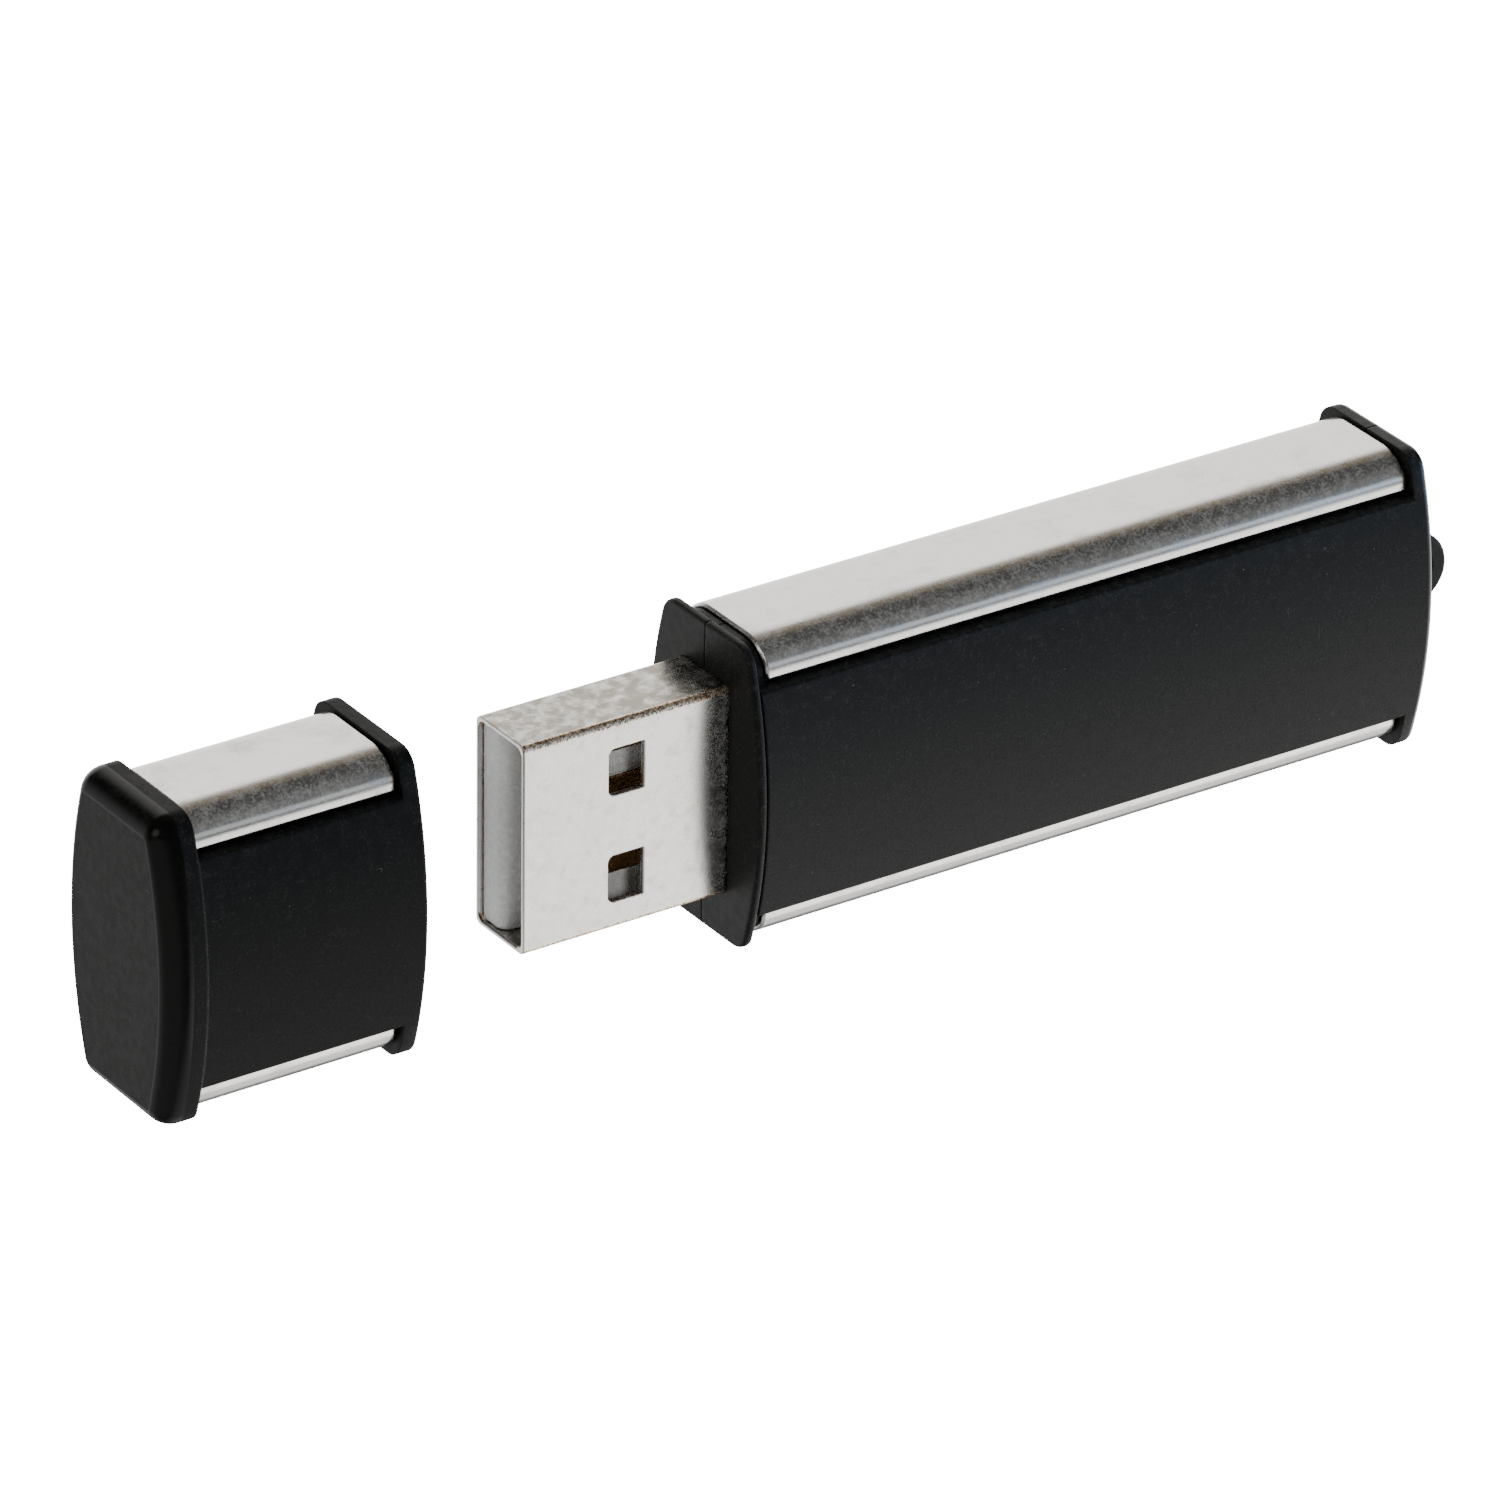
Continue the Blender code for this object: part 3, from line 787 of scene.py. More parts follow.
def wire_edges(bench: GroupBench) -> None:
    """Wire rounded edges: their normal, and a mask of where it leans away from the true one.

    Args:
        bench: The group's node bench.
    """
    level, leaning = 0.98, 0.8
    round_normal = bench.add("ShaderNodeBevel", samples=4)
    bench.feed(round_normal.inputs["Radius"], bench.math("MULTIPLY", bench.port("Radius"), MM))
    true_normal = bench.add("ShaderNodeNewGeometry").outputs["Normal"]
    facing = bench.vector("DOT_PRODUCT", round_normal.outputs[0], true_normal, "Value")
    bench.end("Mask", bench.span(facing, level, leaning))
    bench.end("Normal", round_normal.outputs[0])


GRAIN = EffectGroup("moulded_grain", (GroupPort("Scale", 20.0),), ("Height", "Tone"), wire_grain)
STREAKS = EffectGroup(
    "brushed_streaks",
    (GroupPort("Length", 6.0), GroupPort("Pitch", 0.05)),
    ("Height", "Tone"),
    wire_streaks,
)
SMUDGES = EffectGroup(
    "smudges",
    (GroupPort("Scale", 0.5), GroupPort("From", 0.45), GroupPort("To", 0.7)),
    ("Mask",),
    wire_smudges,
)
SPECKS = EffectGroup(
    "specks",
    (GroupPort("Scale", 1.5), GroupPort("Size", 0.12), GroupPort("Share", 0.2)),
    ("Mask",),
    wire_specks,
)
SCRATCHES = EffectGroup(
    "hair_lines",
    (GroupPort("Scale", 0.8), GroupPort("Width", 0.004), GroupPort("Share", 0.4)),
    ("Mask",),
    wire_scratches,
)
EDGES = EffectGroup("worn_edges", (GroupPort("Radius", 0.1),), ("Mask", "Normal"), wire_edges)


# --- Finishes ---


def opaque(colour: Colour, gain: float = 1.0) -> tuple[float, float, float, float]:
    """Return a colour with full alpha, brighter by a gain."""
    return (*(value * gain for value in colour), 1.0)


def new_material(name: str) -> tuple[bpy.types.Material, NodeBench, bpy.types.Node]:
    """Start a new material.

    Args:
        name: The material's name.

    Returns:
        The material, its node bench and its Principled shader.
    """
    made = bpy.data.materials.new(name)
    made.use_nodes = True
    return made, NodeBench(made.node_tree), made.node_tree.nodes["Principled BSDF"]


def bumped(bench: NodeBench, height: Socket, depth: float, onto: Socket | None = None) -> Socket:
    """Return a normal bumped by a height.

    Args:
        bench: The material's node bench.
        height: The height, 0 to 1.
        depth: How deep the full height is, in millimetres.
        onto: A normal that is bumped already.

    Returns:
        The bumped normal.
    """
    node = bench.add("ShaderNodeBump")
    node.inputs["Distance"].default_value = depth * MM
    bench.feed(node.inputs["Height"], height)
    if onto:
        bench.feed(node.inputs["Normal"], onto)
    return node.outputs[0]


@dataclass(frozen=True)
class MouldedPlastic:
    """A moulded plastic with a fine grain, worn edges and a little dust."""

    name: str
    colour: Colour
    roughness: float = 0.5
    specular: float = 0.3
    grain_scale: float = 14.0
    grain_depth: float = 0.004
    tone_depth: float = 0.2
    tip_gain: float = 1.2
    edge_colour: Colour = (0.03, 0.03, 0.03)
    edge_gloss: float = 0.15
    edge_radius: float = 0.15
    dust_share: float = 0.12
    dust_colour: Colour = (0.25, 0.24, 0.22)
    tips: tuple[float, float] = (0.5, 0.68)
    tone_matt: float = 0.08
    hair_weight: float = 0.5

    def material(self) -> bpy.types.Material:
        """Return the finish as a material."""
        made, bench, shader = new_material(self.name)
        grain = GRAIN.place(bench, Scale=self.grain_scale).outputs
        edges = EDGES.place(bench, Radius=self.edge_radius).outputs
        specks = SPECKS.place(bench, Scale=1.3, Size=0.07, Share=self.dust_share).outputs["Mask"]
        hairs = SCRATCHES.place(bench, Scale=0.55, Width=0.0012, Share=0.36).outputs["Mask"]
        deep = opaque(self.colour, 1.0 - self.tone_depth)
        base = bench.blend(grain["Tone"], deep, opaque(self.colour))
        tips = bench.span(grain["Height"], *self.tips)
        base = bench.blend(tips, base, opaque(self.colour, self.tip_gain))
        worn = bench.blend(edges["Mask"], base, opaque(self.edge_colour))
        dust = bench.math("MAXIMUM", specks, bench.math("MULTIPLY", hairs, self.hair_weight))
        bench.feed(shader.inputs["Base Color"], bench.blend(dust, worn, opaque(self.dust_colour)))
        shine = bench.math("MULTIPLY_ADD", edges["Mask"], -self.edge_gloss, self.roughness)
        matt = bench.math("MULTIPLY_ADD", grain["Tone"], self.tone_matt, shine)
        bench.feed(shader.inputs["Roughness"], matt)
        shader.inputs["Specular IOR Level"].default_value = self.specular
        normal = bumped(bench, grain["Height"], self.grain_depth, edges["Normal"])
        bench.feed(shader.inputs["Normal"], normal)
        return made


@dataclass(frozen=True)
class WorkedMetal:
    """A metal sheet with brushing, smudges, pits and bright edges."""

    name: str
    colour: Colour
    shade: Colour
    roughness: float = 0.25
    streak_length: float = 8.0
    streak_pitch: float = 0.06
    streak_depth: float = 0.0004
    streak_gloss: float = 0.1
    smudge_scale: float = 0.35
    smudge_from: float = 0.48
    smudge_to: float = 0.75
    smudge_gloss: float = 0.12
    top_stain: Colour | None = None
    pit_share: float = 0.12
    pit_depth: float = 0.002
    grain_scale: float = 9.0
    grain_depth: float = 0.0015
    edge_grain: float = 0.01
    edge_matt: float = 0.25
    rolled_grain: float = 0.0
    rolled_colour: Colour = (0.34, 0.25, 0.17)
    # Painted highlight: the colour of the bright dots left free in the rolled edge's tarnish.
    glint_dot_colour: Colour = (1.0, 0.8, 0.6)
    film: float = 0.0
    film_span: tuple[float, float] = (0.4, 0.66)
    edge_colour: Colour = (0.9, 0.89, 0.87)
    edge_radius: float = 0.06
    pit_weight: float = 0.6

    def material(self) -> bpy.types.Material:
        """Return the finish as a material."""
        made, bench, shader = new_material(self.name)
        streaks = STREAKS.place(bench, Length=self.streak_length, Pitch=self.streak_pitch).outputs
        smudges = SMUDGES.place(
            bench, Scale=self.smudge_scale, From=self.smudge_from, To=self.smudge_to
        ).outputs["Mask"]
        pits = SPECKS.place(bench, Scale=2.2, Size=0.1, Share=self.pit_share).outputs["Mask"]
        edges = EDGES.place(bench, Radius=self.edge_radius).outputs
        grain = GRAIN.place(bench, Scale=self.grain_scale).outputs["Height"]
        base = bench.blend(smudges, opaque(self.colour), opaque(self.shade))
        base = self.aged(bench, base)
        worn = bench.blend(edges["Mask"], base, opaque(self.edge_colour))
        pitted = bench.math("MULTIPLY", pits, self.pit_weight)
        bench.feed(shader.inputs["Base Color"], bench.blend(pitted, worn, opaque(self.shade)))
        shader.inputs["Metallic"].default_value = 1.0
        if self.film:
            filmed = bench.span(grain, *self.film_span)
            bare = bench.math("MULTIPLY_ADD", filmed, -self.film, 1.0)
            bench.feed(shader.inputs["Metallic"], bare)
        matt = bench.math("MULTIPLY_ADD", streaks["Tone"], self.streak_gloss, self.roughness)
        matt = bench.math("MULTIPLY_ADD", smudges, self.smudge_gloss, matt)
        matt = bench.math("MULTIPLY_ADD", edges["Mask"], self.edge_matt, matt)
        bench.feed(shader.inputs["Roughness"], matt)
        rugged = bench.math("MULTIPLY", grain, edges["Mask"])
        normal = bumped(bench, rugged, self.edge_grain, edges["Normal"])
        normal = bumped(bench, grain, self.grain_depth, normal)
        normal = bumped(bench, streaks["Height"], self.streak_depth, normal)
        if self.rolled_grain:
            rolled = bench.math("MULTIPLY", self.rolled_mask(bench), grain)
            normal = bumped(bench, rolled, self.rolled_grain, normal)
        bench.feed(shader.inputs["Normal"], bumped(bench, pits, self.pit_depth, normal))
        return made

    def aged(self, bench: NodeBench, base: Socket) -> Socket:
        """Return the sheet's colour with its stained upper face and its tarnished rolled edges,
        dotted with painted glints.

        Args:
            bench: The material's node bench.
            base: The sheet's colour.

        Returns:
            The aged colour.
        """
        if self.top_stain:
            base = bench.blend(self.stain_mask(bench), base, opaque(self.top_stain))
        if self.rolled_grain:
            # Brown tarnish on the rolled edges, with dots of painted highlight left free in it.
            dots = self.tarnish_and_glint_dots(bench)
            dotted = bench.blend(dots, opaque(self.glint_dot_colour), opaque(self.rolled_colour))
            base = bench.blend(self.rolled_mask(bench), base, dotted)
        return base

    @staticmethod
    def tarnish_and_glint_dots(bench: NodeBench) -> Socket:
        """Return where a rolled edge is tarnished, with small dots left free for painted glints.

        Args:
            bench: The material's node bench.

        Returns:
            The mask.
        """
        free, tarnished = 0.52, 0.4
        dots = bench.noise(bench.millimetres(), 6.0, roughness=0.6)
        return bench.span(dots, free, tarnished)

    @staticmethod
    def rolled_mask(bench: NodeBench) -> Socket:
        """Return where the sheet rolls over from a wide face to a narrow one.

        Args:
            bench: The material's node bench.

        Returns:
            The mask.
        """
        flat, rolled = 0.08, 0.35
        facing = bench.facing()
        lean = bench.math("MULTIPLY", facing["Y"], facing["Z"])
        return bench.span(bench.math("ABSOLUTE", lean), flat, rolled)

    @staticmethod
    def stain_mask(bench: NodeBench) -> Socket:
        """Return where the upper face is stained: swirls that settle on it only.

        Args:
            bench: The material's node bench.

        Returns:
            The mask.
        """
        steep, level = 0.7, 0.95
        upper = bench.span(bench.facing()["Z"], steep, level)
        swirls = SMUDGES.place(bench, Scale=1.3, From=0.26, To=0.62)
        return bench.math("MULTIPLY", upper, swirls.outputs["Mask"])


HOUSING_BLACK = MouldedPlastic(
    "housing_black",
    (0.0052, 0.0051, 0.0049),
    0.44,
    0.13,
    grain_scale=8.0,
    grain_depth=0.012,
    tone_depth=0.35,
    tip_gain=3.8,
    edge_colour=(0.012, 0.012, 0.012),
    dust_share=0.3,
)
HOUSING_POLISH = MouldedPlastic(
    "housing_polish", (0.005, 0.005, 0.005), 0.22, 0.22, grain_depth=0.001, edge_gloss=0.05
)
CAP_BLACK = MouldedPlastic(
    "cap_black",
    (0.0036, 0.0036, 0.0033),
    0.44,
    0.08,
    grain_scale=8.0,
    grain_depth=0.012,
    tone_depth=0.35,
    tip_gain=3.8,
    edge_colour=(0.01, 0.01, 0.01),
    dust_share=0.16,
)
# Glossier finish of the cap's end rounding; its colour, darker than the cap's, is painted shade.
CAP_POLISH_SHADED = MouldedPlastic(
    "cap_polish_shaded",
    (0.0024, 0.0024, 0.0022),
    0.17,
    0.13,
    grain_depth=0.0008,
    edge_gloss=0.05,
    edge_colour=(0.004, 0.004, 0.004),
    edge_radius=0.08,
)
BAND_STEEL = WorkedMetal(
    "band_steel",
    (0.66, 0.65, 0.63),
    (0.57, 0.555, 0.53),
    0.16,
    streak_pitch=0.12,
    streak_depth=0.0004,
    streak_gloss=0.08,
    pit_share=0.15,
    grain_scale=7.0,
    grain_depth=0.006,
    edge_colour=(0.78, 0.77, 0.75),
    film=0.17,
)
PLUG_STEEL = WorkedMetal(
    "plug_steel",
    (0.64, 0.628, 0.605),
    (0.56, 0.535, 0.495),
    0.24,
    streak_depth=0.00005,
    streak_gloss=0.02,
    smudge_scale=1.2,
    smudge_gloss=0.05,
    top_stain=(0.25, 0.225, 0.195),
    pit_share=0.3,
    edge_grain=0.03,
    edge_colour=(0.46, 0.38, 0.3),
    rolled_grain=0.035,
    film=0.18,
)
CONTACT_GOLD = WorkedMetal(
    "contact_gold", (0.5, 0.3, 0.13), (0.36, 0.2, 0.08), 0.4, smudge_scale=1.5
)
TONGUE_WHITE = MouldedPlastic(
    "tongue_white",
    (0.88, 0.88, 0.86),
    0.4,
    0.5,
    tone_depth=0.06,
    edge_colour=(0.8, 0.8, 0.78),
    dust_colour=(0.3, 0.28, 0.25),
)
BOARD_GREEN = MouldedPlastic(
    "board_green", (0.01, 0.08, 0.035), 0.3, 0.5, edge_colour=(0.2, 0.16, 0.08)
)
RESIN_BLACK = MouldedPlastic("resin_black", (0.02, 0.02, 0.022), 0.6, 0.3)
CERAMIC_TAN = MouldedPlastic(
    "ceramic_tan", (0.35, 0.22, 0.12), 0.5, 0.4, edge_colour=(0.5, 0.5, 0.5)
)
CERAMIC_DARK = MouldedPlastic(
    "ceramic_dark", (0.03, 0.03, 0.035), 0.45, 0.4, edge_colour=(0.5, 0.5, 0.5)
)
LENS_CLEAR = MouldedPlastic("lens_clear", (0.5, 0.7, 0.9), 0.15, 0.5, grain_depth=0.001)
CAN_SILVER = WorkedMetal("can_silver", (0.6, 0.6, 0.6), (0.45, 0.45, 0.45), 0.25)


# --- Sections ---


@dataclass(frozen=True)
class BarrelSection:
    """The section of the flanges: bulging wide sides, flat narrow edges, round corners."""

    width: float
    thickness: float
    edge_thickness: float = 7.5
    corner: float = 1.3
    least_corner: float = 0.2
    side_steps: int = 44
    corner_steps: int = 9

    @classmethod
    def from_frame(cls, node: str) -> "BarrelSection":
        """Return the section that is as wide as a node and as thick as the whole body.

        Args:
            node: The frame's node that gives the width.

        Returns:
            The section.
        """
        low, high = LAYOUT.box(node)
        front, back = LAYOUT.box("housing_front")[0].y, LAYOUT.box("housing_back")[1].y
        return cls(high.z - low.z, back - front)

    @property
    def bulge_radius(self) -> float:
        """The radius of the wide sides."""
        half_width = self.width / 2
        bulge = (self.thickness - self.edge_thickness) / 2
        return (half_width**2 + bulge**2) / (2 * bulge)

    def half_thickness(self, z: float) -> float:
        """Return the half thickness at a height."""
        radius = self.bulge_radius
        return self.thickness / 2 - radius + math.sqrt(radius**2 - z**2)

    def outline(self, half_width: float, corner: float, inset: float = 0.0) -> Outline:
        """Return a closed barrel outline.

        Args:
            half_width: Half of its height in Z.
            corner: The radius of its corners.
            inset: How far its wide sides are set in.

        Returns:
            The outline's points.
        """
        radius = self.bulge_radius - inset
        centre_y = self.thickness / 2 - inset - radius
        corner_z = half_width - corner
        corner_y = centre_y + math.sqrt((radius - corner) ** 2 - corner_z**2)
        spread = math.atan2(corner_z, corner_y - centre_y)
        lower = arc((corner_y, -corner_z), corner, -math.pi / 2, -spread, self.corner_steps)
        side = arc((centre_y, 0.0), radius, -spread, spread, self.side_steps)
        upper = arc((corner_y, corner_z), corner, spread, math.pi / 2, self.corner_steps)
        return mirrored(lower[:-1] + side + upper[1:])

    def flange(self, inset: float = 0.0) -> Outline:
        """Return the flange's outline, set in all round by a depth."""
        corner = max(self.corner - inset, self.least_corner)
        return self.outline(self.width / 2 - inset, corner, inset)


@dataclass(frozen=True)
class RoundedEnd:
    """How a flange's edge rolls over at one of its ends."""

    radius: float
    facet_angle: float = 0.0
    steps: int = 5

    def stations(self, end: float, inwards: float) -> list[tuple[float, float]]:
        """Return (x, inset) pairs from the end face to the full section.

        Args:
            end: The end face's place.
            inwards: 1 if the flange goes on towards +X from there, or -1.

        Returns:
            The pairs, the end face first.
        """
        first = math.radians(self.facet_angle)
        pairs = []
        for step in range(self.steps + 1):
            angle = first + (math.pi / 2 - first) * step / self.steps
            depth = self.radius * (math.cos(first) - math.cos(angle))
            pairs.append((end + inwards * depth, self.radius * (1 - math.sin(angle))))
        return pairs


def flange_loft(
    section: BarrelSection, start: float, end: float, near: RoundedEnd, far: RoundedEnd
) -> bmesh.types.BMesh:
    """Return a flange between two places along X, with both edges rolled over.

    Args:
        section: The flange's section.
        start: Where it starts.
        end: Where it ends.
        near: How its edge rolls over at the start.
        far: How its edge rolls over at the end.

    Returns:
        The closed mesh.
    """
    pairs = near.stations(start, 1.0) + list(reversed(far.stations(end, -1.0)))
    return loft([(x, section.flange(inset)) for x, inset in pairs])


@dataclass(frozen=True)
class BandSection:
    """The section of a bent band: a flat top, a bowed flank on each side and a short lip."""

    top: float
    spread: float
    lip_end: float
    flat: float = 3.3
    sheet: float = 0.35
    bend_radius: float = 2.2
    crease_radius: float = 1.1
    first_turn: float = 26.0
    last_turn: float = 48.0
    lip_turn: float = 86.0
    bend_steps: int = 8
    bow_steps: int = 10
    tip_round: float = 0.08

    def turns(self) -> list[tuple[float, float, float, int]]:
        """Find the bend, the bow and the crease; the bow's radius follows from the room left.

        Returns:
            The radius, first angle, last angle and steps of each of the three.
        """
        turns = (self.first_turn, self.last_turn, self.lip_turn)
        first, last, lip = (math.radians(turn) for turn in turns)
        width = (self.spread - self.flat) / 2 - self.bend_radius * math.sin(first)
        width -= self.crease_radius * (math.sin(lip) - math.sin(last))
        height = self.top - self.lip_end - self.bend_radius * (1 - math.cos(first))
        height -= self.crease_radius * (math.cos(last) - math.cos(lip))
        bow = (math.sin(last) - math.sin(first), math.cos(first) - math.cos(last))
        share = bow[0] * math.sin(lip) - bow[1] * math.cos(lip)
        bow_radius = (width * math.sin(lip) - height * math.cos(lip)) / share
        return [
            (self.bend_radius, 0.0, first, self.bend_steps),
            (bow_radius, first, last, self.bow_steps),
            (self.crease_radius, last, lip, self.bend_steps),
        ]

    def half_path(self, depth: float, lift: float) -> Outline:
        """Return half of the band's path at a depth under its outer face.

        Args:
            depth: How far the path lies under the outer face.
            lift: How much shorter the lip is than in full.

        Returns:
            The points from the flat's edge to the lip's end.
        """
        y, z = self.flat / 2, self.top
        points: Outline = [(y, z - depth)]
        for radius, first, last, steps in self.turns():
            centre = (y - radius * math.sin(first), z - radius * math.cos(first))
            turned = arc(centre, radius - depth, math.pi / 2 - first, math.pi / 2 - last, steps)
            points.extend(turned[1:])
            y, z = centre[0] + radius * math.sin(last), centre[1] + radius * math.cos(last)
        lip = math.radians(self.lip_turn)
        length = (z - self.lip_end - lift) / math.sin(lip)
        near = points[-1]
        points.append((near[0] + length * math.cos(lip), near[1] - length * math.sin(lip)))
        return points

    def outline(self, erode: float = 0.0, lift: float = 0.0) -> Outline:
        """Return the closed section.

        Args:
            erode: How much is taken off all round.
            lift: How much shorter both lips are.

        Returns:
            The section's points.
        """
        outer = self.half_path(erode, lift + erode)
        inner = self.half_path(self.sheet - erode, lift + erode)
        soft = min(self.tip_round, (self.sheet - 2 * erode) / 3)
        tip = fillet(outer[-2], outer[-1], inner[-1], soft, 3)
        tip += fillet(outer[-1], inner[-1], inner[-2], soft, 3)
        return mirrored(outer[:-1] + tip + list(reversed(inner[:-1])))


@dataclass(frozen=True)
class SteelBand:
    """One bent steel band over a narrow edge of the body or of the cap."""

    node: str
    body: Body
    end_round: float = 0.15
    edge_break: float = 0.13
    end_steps: int = 8

    def section(self) -> BandSection:
        """Return the band's section, as an upper band."""
        low, high = LAYOUT.box(self.node)
        outer = max(abs(low.z), abs(high.z))
        inner = min(abs(low.z), abs(high.z))
        return BandSection(outer, high.y - low.y, inner)

    def end_stations(self) -> list[tuple[float, float, float]]:
        """Return (distance from the end, erosion, lip lift) of the sections near an end."""
        rows = []
        for step in range(self.end_steps + 1):
            angle = math.pi / 2 * step / self.end_steps
            distance = self.end_round * (1 - math.cos(angle))
            erode = max(self.edge_break - distance, 0.0)
            rows.append((distance, erode, self.end_round * (1 - math.sin(angle))))
        return rows

    def build(self, finish: bpy.types.Material) -> bpy.types.Object:
        """Build the band and place it.

        Args:
            finish: Its material.

        Returns:
            The piece.
        """
        low, high = LAYOUT.box(self.node)
        section = self.section()
        ends = [(x, section.outline(erode, lift)) for x, erode, lift in self.end_stations()]
        stations = [(low.x + x, outline) for x, outline in ends]
        stations += [(high.x - x, outline) for x, outline in reversed(ends)]
        mesh = loft(stations)
        if low.z < 0:
            bmesh.ops.scale(mesh, vec=(1.0, 1.0, -1.0), verts=mesh.verts[:])
        name = self.node + "_sheet"
        return place_piece(name, mesh, finish, self.body, self.node)


@dataclass(frozen=True)
class BandSeat:
    """The pocket that a narrow edge leaves for its band, between two flanges."""

    section: BarrelSection
    band: BandSection
    lip_clearance: float = 0.25
    fit: float = 0.05
    ledge_break: float = 0.1
    reach: float = 12.0

    def pocket(self, depth: float, start: float, end: float, upper: bool) -> bmesh.types.BMesh:
        """Return the tool that cuts one narrow edge down.

        Args:
            depth: How far under the band's outer face it cuts.
            start: Where it starts along X.
            end: Where it ends.
            upper: True for the upper edge.

        Returns:
            The tool.
        """
        ledge_z = self.band.lip_end - self.lip_clearance
        ledge_y = self.section.half_thickness(ledge_z) - self.ledge_break
        slope = 4 * self.ledge_break
        right = self.band.half_path(depth, 0.0)
        right += [(right[-1][0], ledge_z), (ledge_y, ledge_z), (ledge_y + slope, ledge_z - slope)]
        right += [(self.reach, ledge_z - slope), (self.reach, self.reach)]
        sign = 1.0 if upper else -1.0
        return along_x([(y, sign * z) for y, z in mirrored(right)], start, end)


# --- Housing ---


@dataclass(frozen=True)
class Housing:
    """The two black halves of the body, with flanges, second rim, wide faces and lanyard lug."""

    front_flange: float = 0.45
    front_round: float = 0.22
    sharp_round: float = 0.05
    groove: float = 0.1
    groove_depth: float = 0.3
    rim: float = 0.68
    rim_depth: float = 0.24
    rear_flange: float = 1.03
    rear_round: float = 0.42
    wall: float = 1.2
    front_wall: float = 1.6
    rear_wall: float = 1.7
    cavity_width: float = 12.4
    cavity_corner: float = 1.0
    slot_corner: float = 0.5
    overlap: float = 0.02
    lug_radius: float = 2.1
    lug_reach: float = 3.9
    lug_thickness: float = 2.2
    lug_edge: float = 0.22
    hole: float = 2.0
    hole_flare: float = 0.2
    fit: float = 0.05
    parting_gap: float = 0.04
    parting_chamfer: float = 0.1
    least_lean: float = 0.12
    section: BarrelSection = field(
        default_factory=lambda: BarrelSection.from_frame("housing_front")
    )

    @property
    def length(self) -> float:
        """The body's length without the lug."""
        return LAYOUT.box("housing_front")[1].x - self.lug_reach

    @property
    def lug_centre(self) -> float:
        """Where the middle of the lug's round end is."""
        return self.length + self.lug_reach - self.lug_radius

    def lug(self) -> bmesh.types.BMesh:
        """Return the lanyard lug, a plate with a round end and soft rims."""
        root = self.length - self.rear_flange / 2
        outline = arc((self.lug_centre, 0.0), self.lug_radius, -math.pi / 2, math.pi / 2, 28)
        outline += [(root, self.lug_radius), (root, -self.lug_radius)]
        mesh = along_y(outline, -self.lug_thickness / 2, self.lug_thickness / 2)
        rims = [e for e in mesh.edges if abs(e.verts[0].co.y - e.verts[1].co.y) < self.lug_edge]
        round_edges(mesh, rims, self.lug_edge, 4)
        return mesh

    def shell(self, name: str) -> Blank:
        """Return the whole body before it is parted.

        Args:
            name: The name of the half that it becomes.

        Returns:
            The blank, with its band seats, cavity, plug slot and lanyard hole cut.
        """
        rim_start = self.front_flange + self.groove
        rim_end = rim_start + self.rim
        sharp = RoundedEnd(self.sharp_round, steps=2)
        rear, front = RoundedEnd(self.rear_round), RoundedEnd(self.front_round)
        blank = Blank(name, flange_loft(self.section, rim_start, self.length, sharp, rear))
        blank.use(Operation.JOIN, flange_loft(self.section, 0.0, self.front_flange, front, sharp))
        neck = self.section.flange(self.groove_depth)
        blank.use(Operation.JOIN, along_x(neck, self.front_flange / 2, rim_start + self.rim / 2))
        blank.use(Operation.JOIN, self.lug())
        seat = BandSeat(self.section, SteelBand("top_band", Body.DRIVE).section())
        spans = (
            (self.rim_depth, self.front_flange + self.overlap / 2, rim_end),
            (seat.band.sheet + seat.fit, rim_end - self.overlap, self.length - self.rear_flange),
        )
        for upper in (True, False):
            for depth, start, end in spans:
                blank.use(Operation.CUT, seat.pocket(depth, start, end, upper))
        cavity = self.section.outline(self.cavity_width / 2, self.cavity_corner, self.wall)
        blank.use(Operation.CUT, along_x(cavity, self.front_wall, self.length - self.rear_wall))
        blank.use(Operation.CUT, self.plug_slot())
        blank.use(Operation.CUT, self.lanyard_hole())
        return blank

    def plug_slot(self) -> bmesh.types.BMesh:
        """Return the tool for the slot that the plug passes through."""
        high = LAYOUT.box("plug_shell")[1]
        slot = rounded(rectangle(high.y + self.fit, high.z + self.fit), [self.slot_corner] * 4)
        return along_x(slot, -1.0, self.front_wall + 1.0)

    def lanyard_hole(self) -> bmesh.types.BMesh:
        """Return the tool for the lanyard hole, flared at both faces."""
        half, flare, past = self.lug_thickness / 2, self.hole_flare, 0.1
        rows = [(-half - past, self.hole / 2 + flare + past), (-half + flare, self.hole / 2)]
        rows += [(-y, radius) for y, radius in reversed(rows)]
        mesh = loft([(y, arc((0.0, 0.0), radius, 0.0, 2 * math.pi, 32)[:-1]) for y, radius in rows])
        move = Matrix.Translation((self.lug_centre, 0.0, 0.0))
        turn = Matrix.Rotation(math.pi / 2, 4, "Z")
        bmesh.ops.transform(mesh, matrix=move @ turn, verts=mesh.verts[:])
        return mesh

    def build_half(
        self, side: Side, finish: bpy.types.Material, polish: bpy.types.Material
    ) -> bpy.types.Object:
        """Build one half and place it.

        Args:
            side: The half to keep.
            finish: Its grained material.
            polish: The material of the rolled edge of its rear flange.

        Returns:
            The piece.
        """
        node = f"housing_{side.name.lower()}"
        blank = self.shell(node)
        reach = self.length
        edges = sorted((side.value * self.parting_gap, side.value * self.section.thickness))
        keep = block((-reach, edges[0], -reach), (2 * reach, edges[1], reach))
        mesh = blank.use(Operation.KEEP, keep).solid()
        bmesh.ops.remove_doubles(mesh, verts=mesh.verts[:], dist=WELD)
        chamfer_rim(mesh, 1, side.value * self.parting_gap, self.parting_chamfer)
        piece = place_piece(node + "_shell", mesh, finish, Body.DRIVE, node)
        polish_faces(piece, polish, self.length - self.rear_round, self.length, self.least_lean)
        return piece


# --- Plug ---


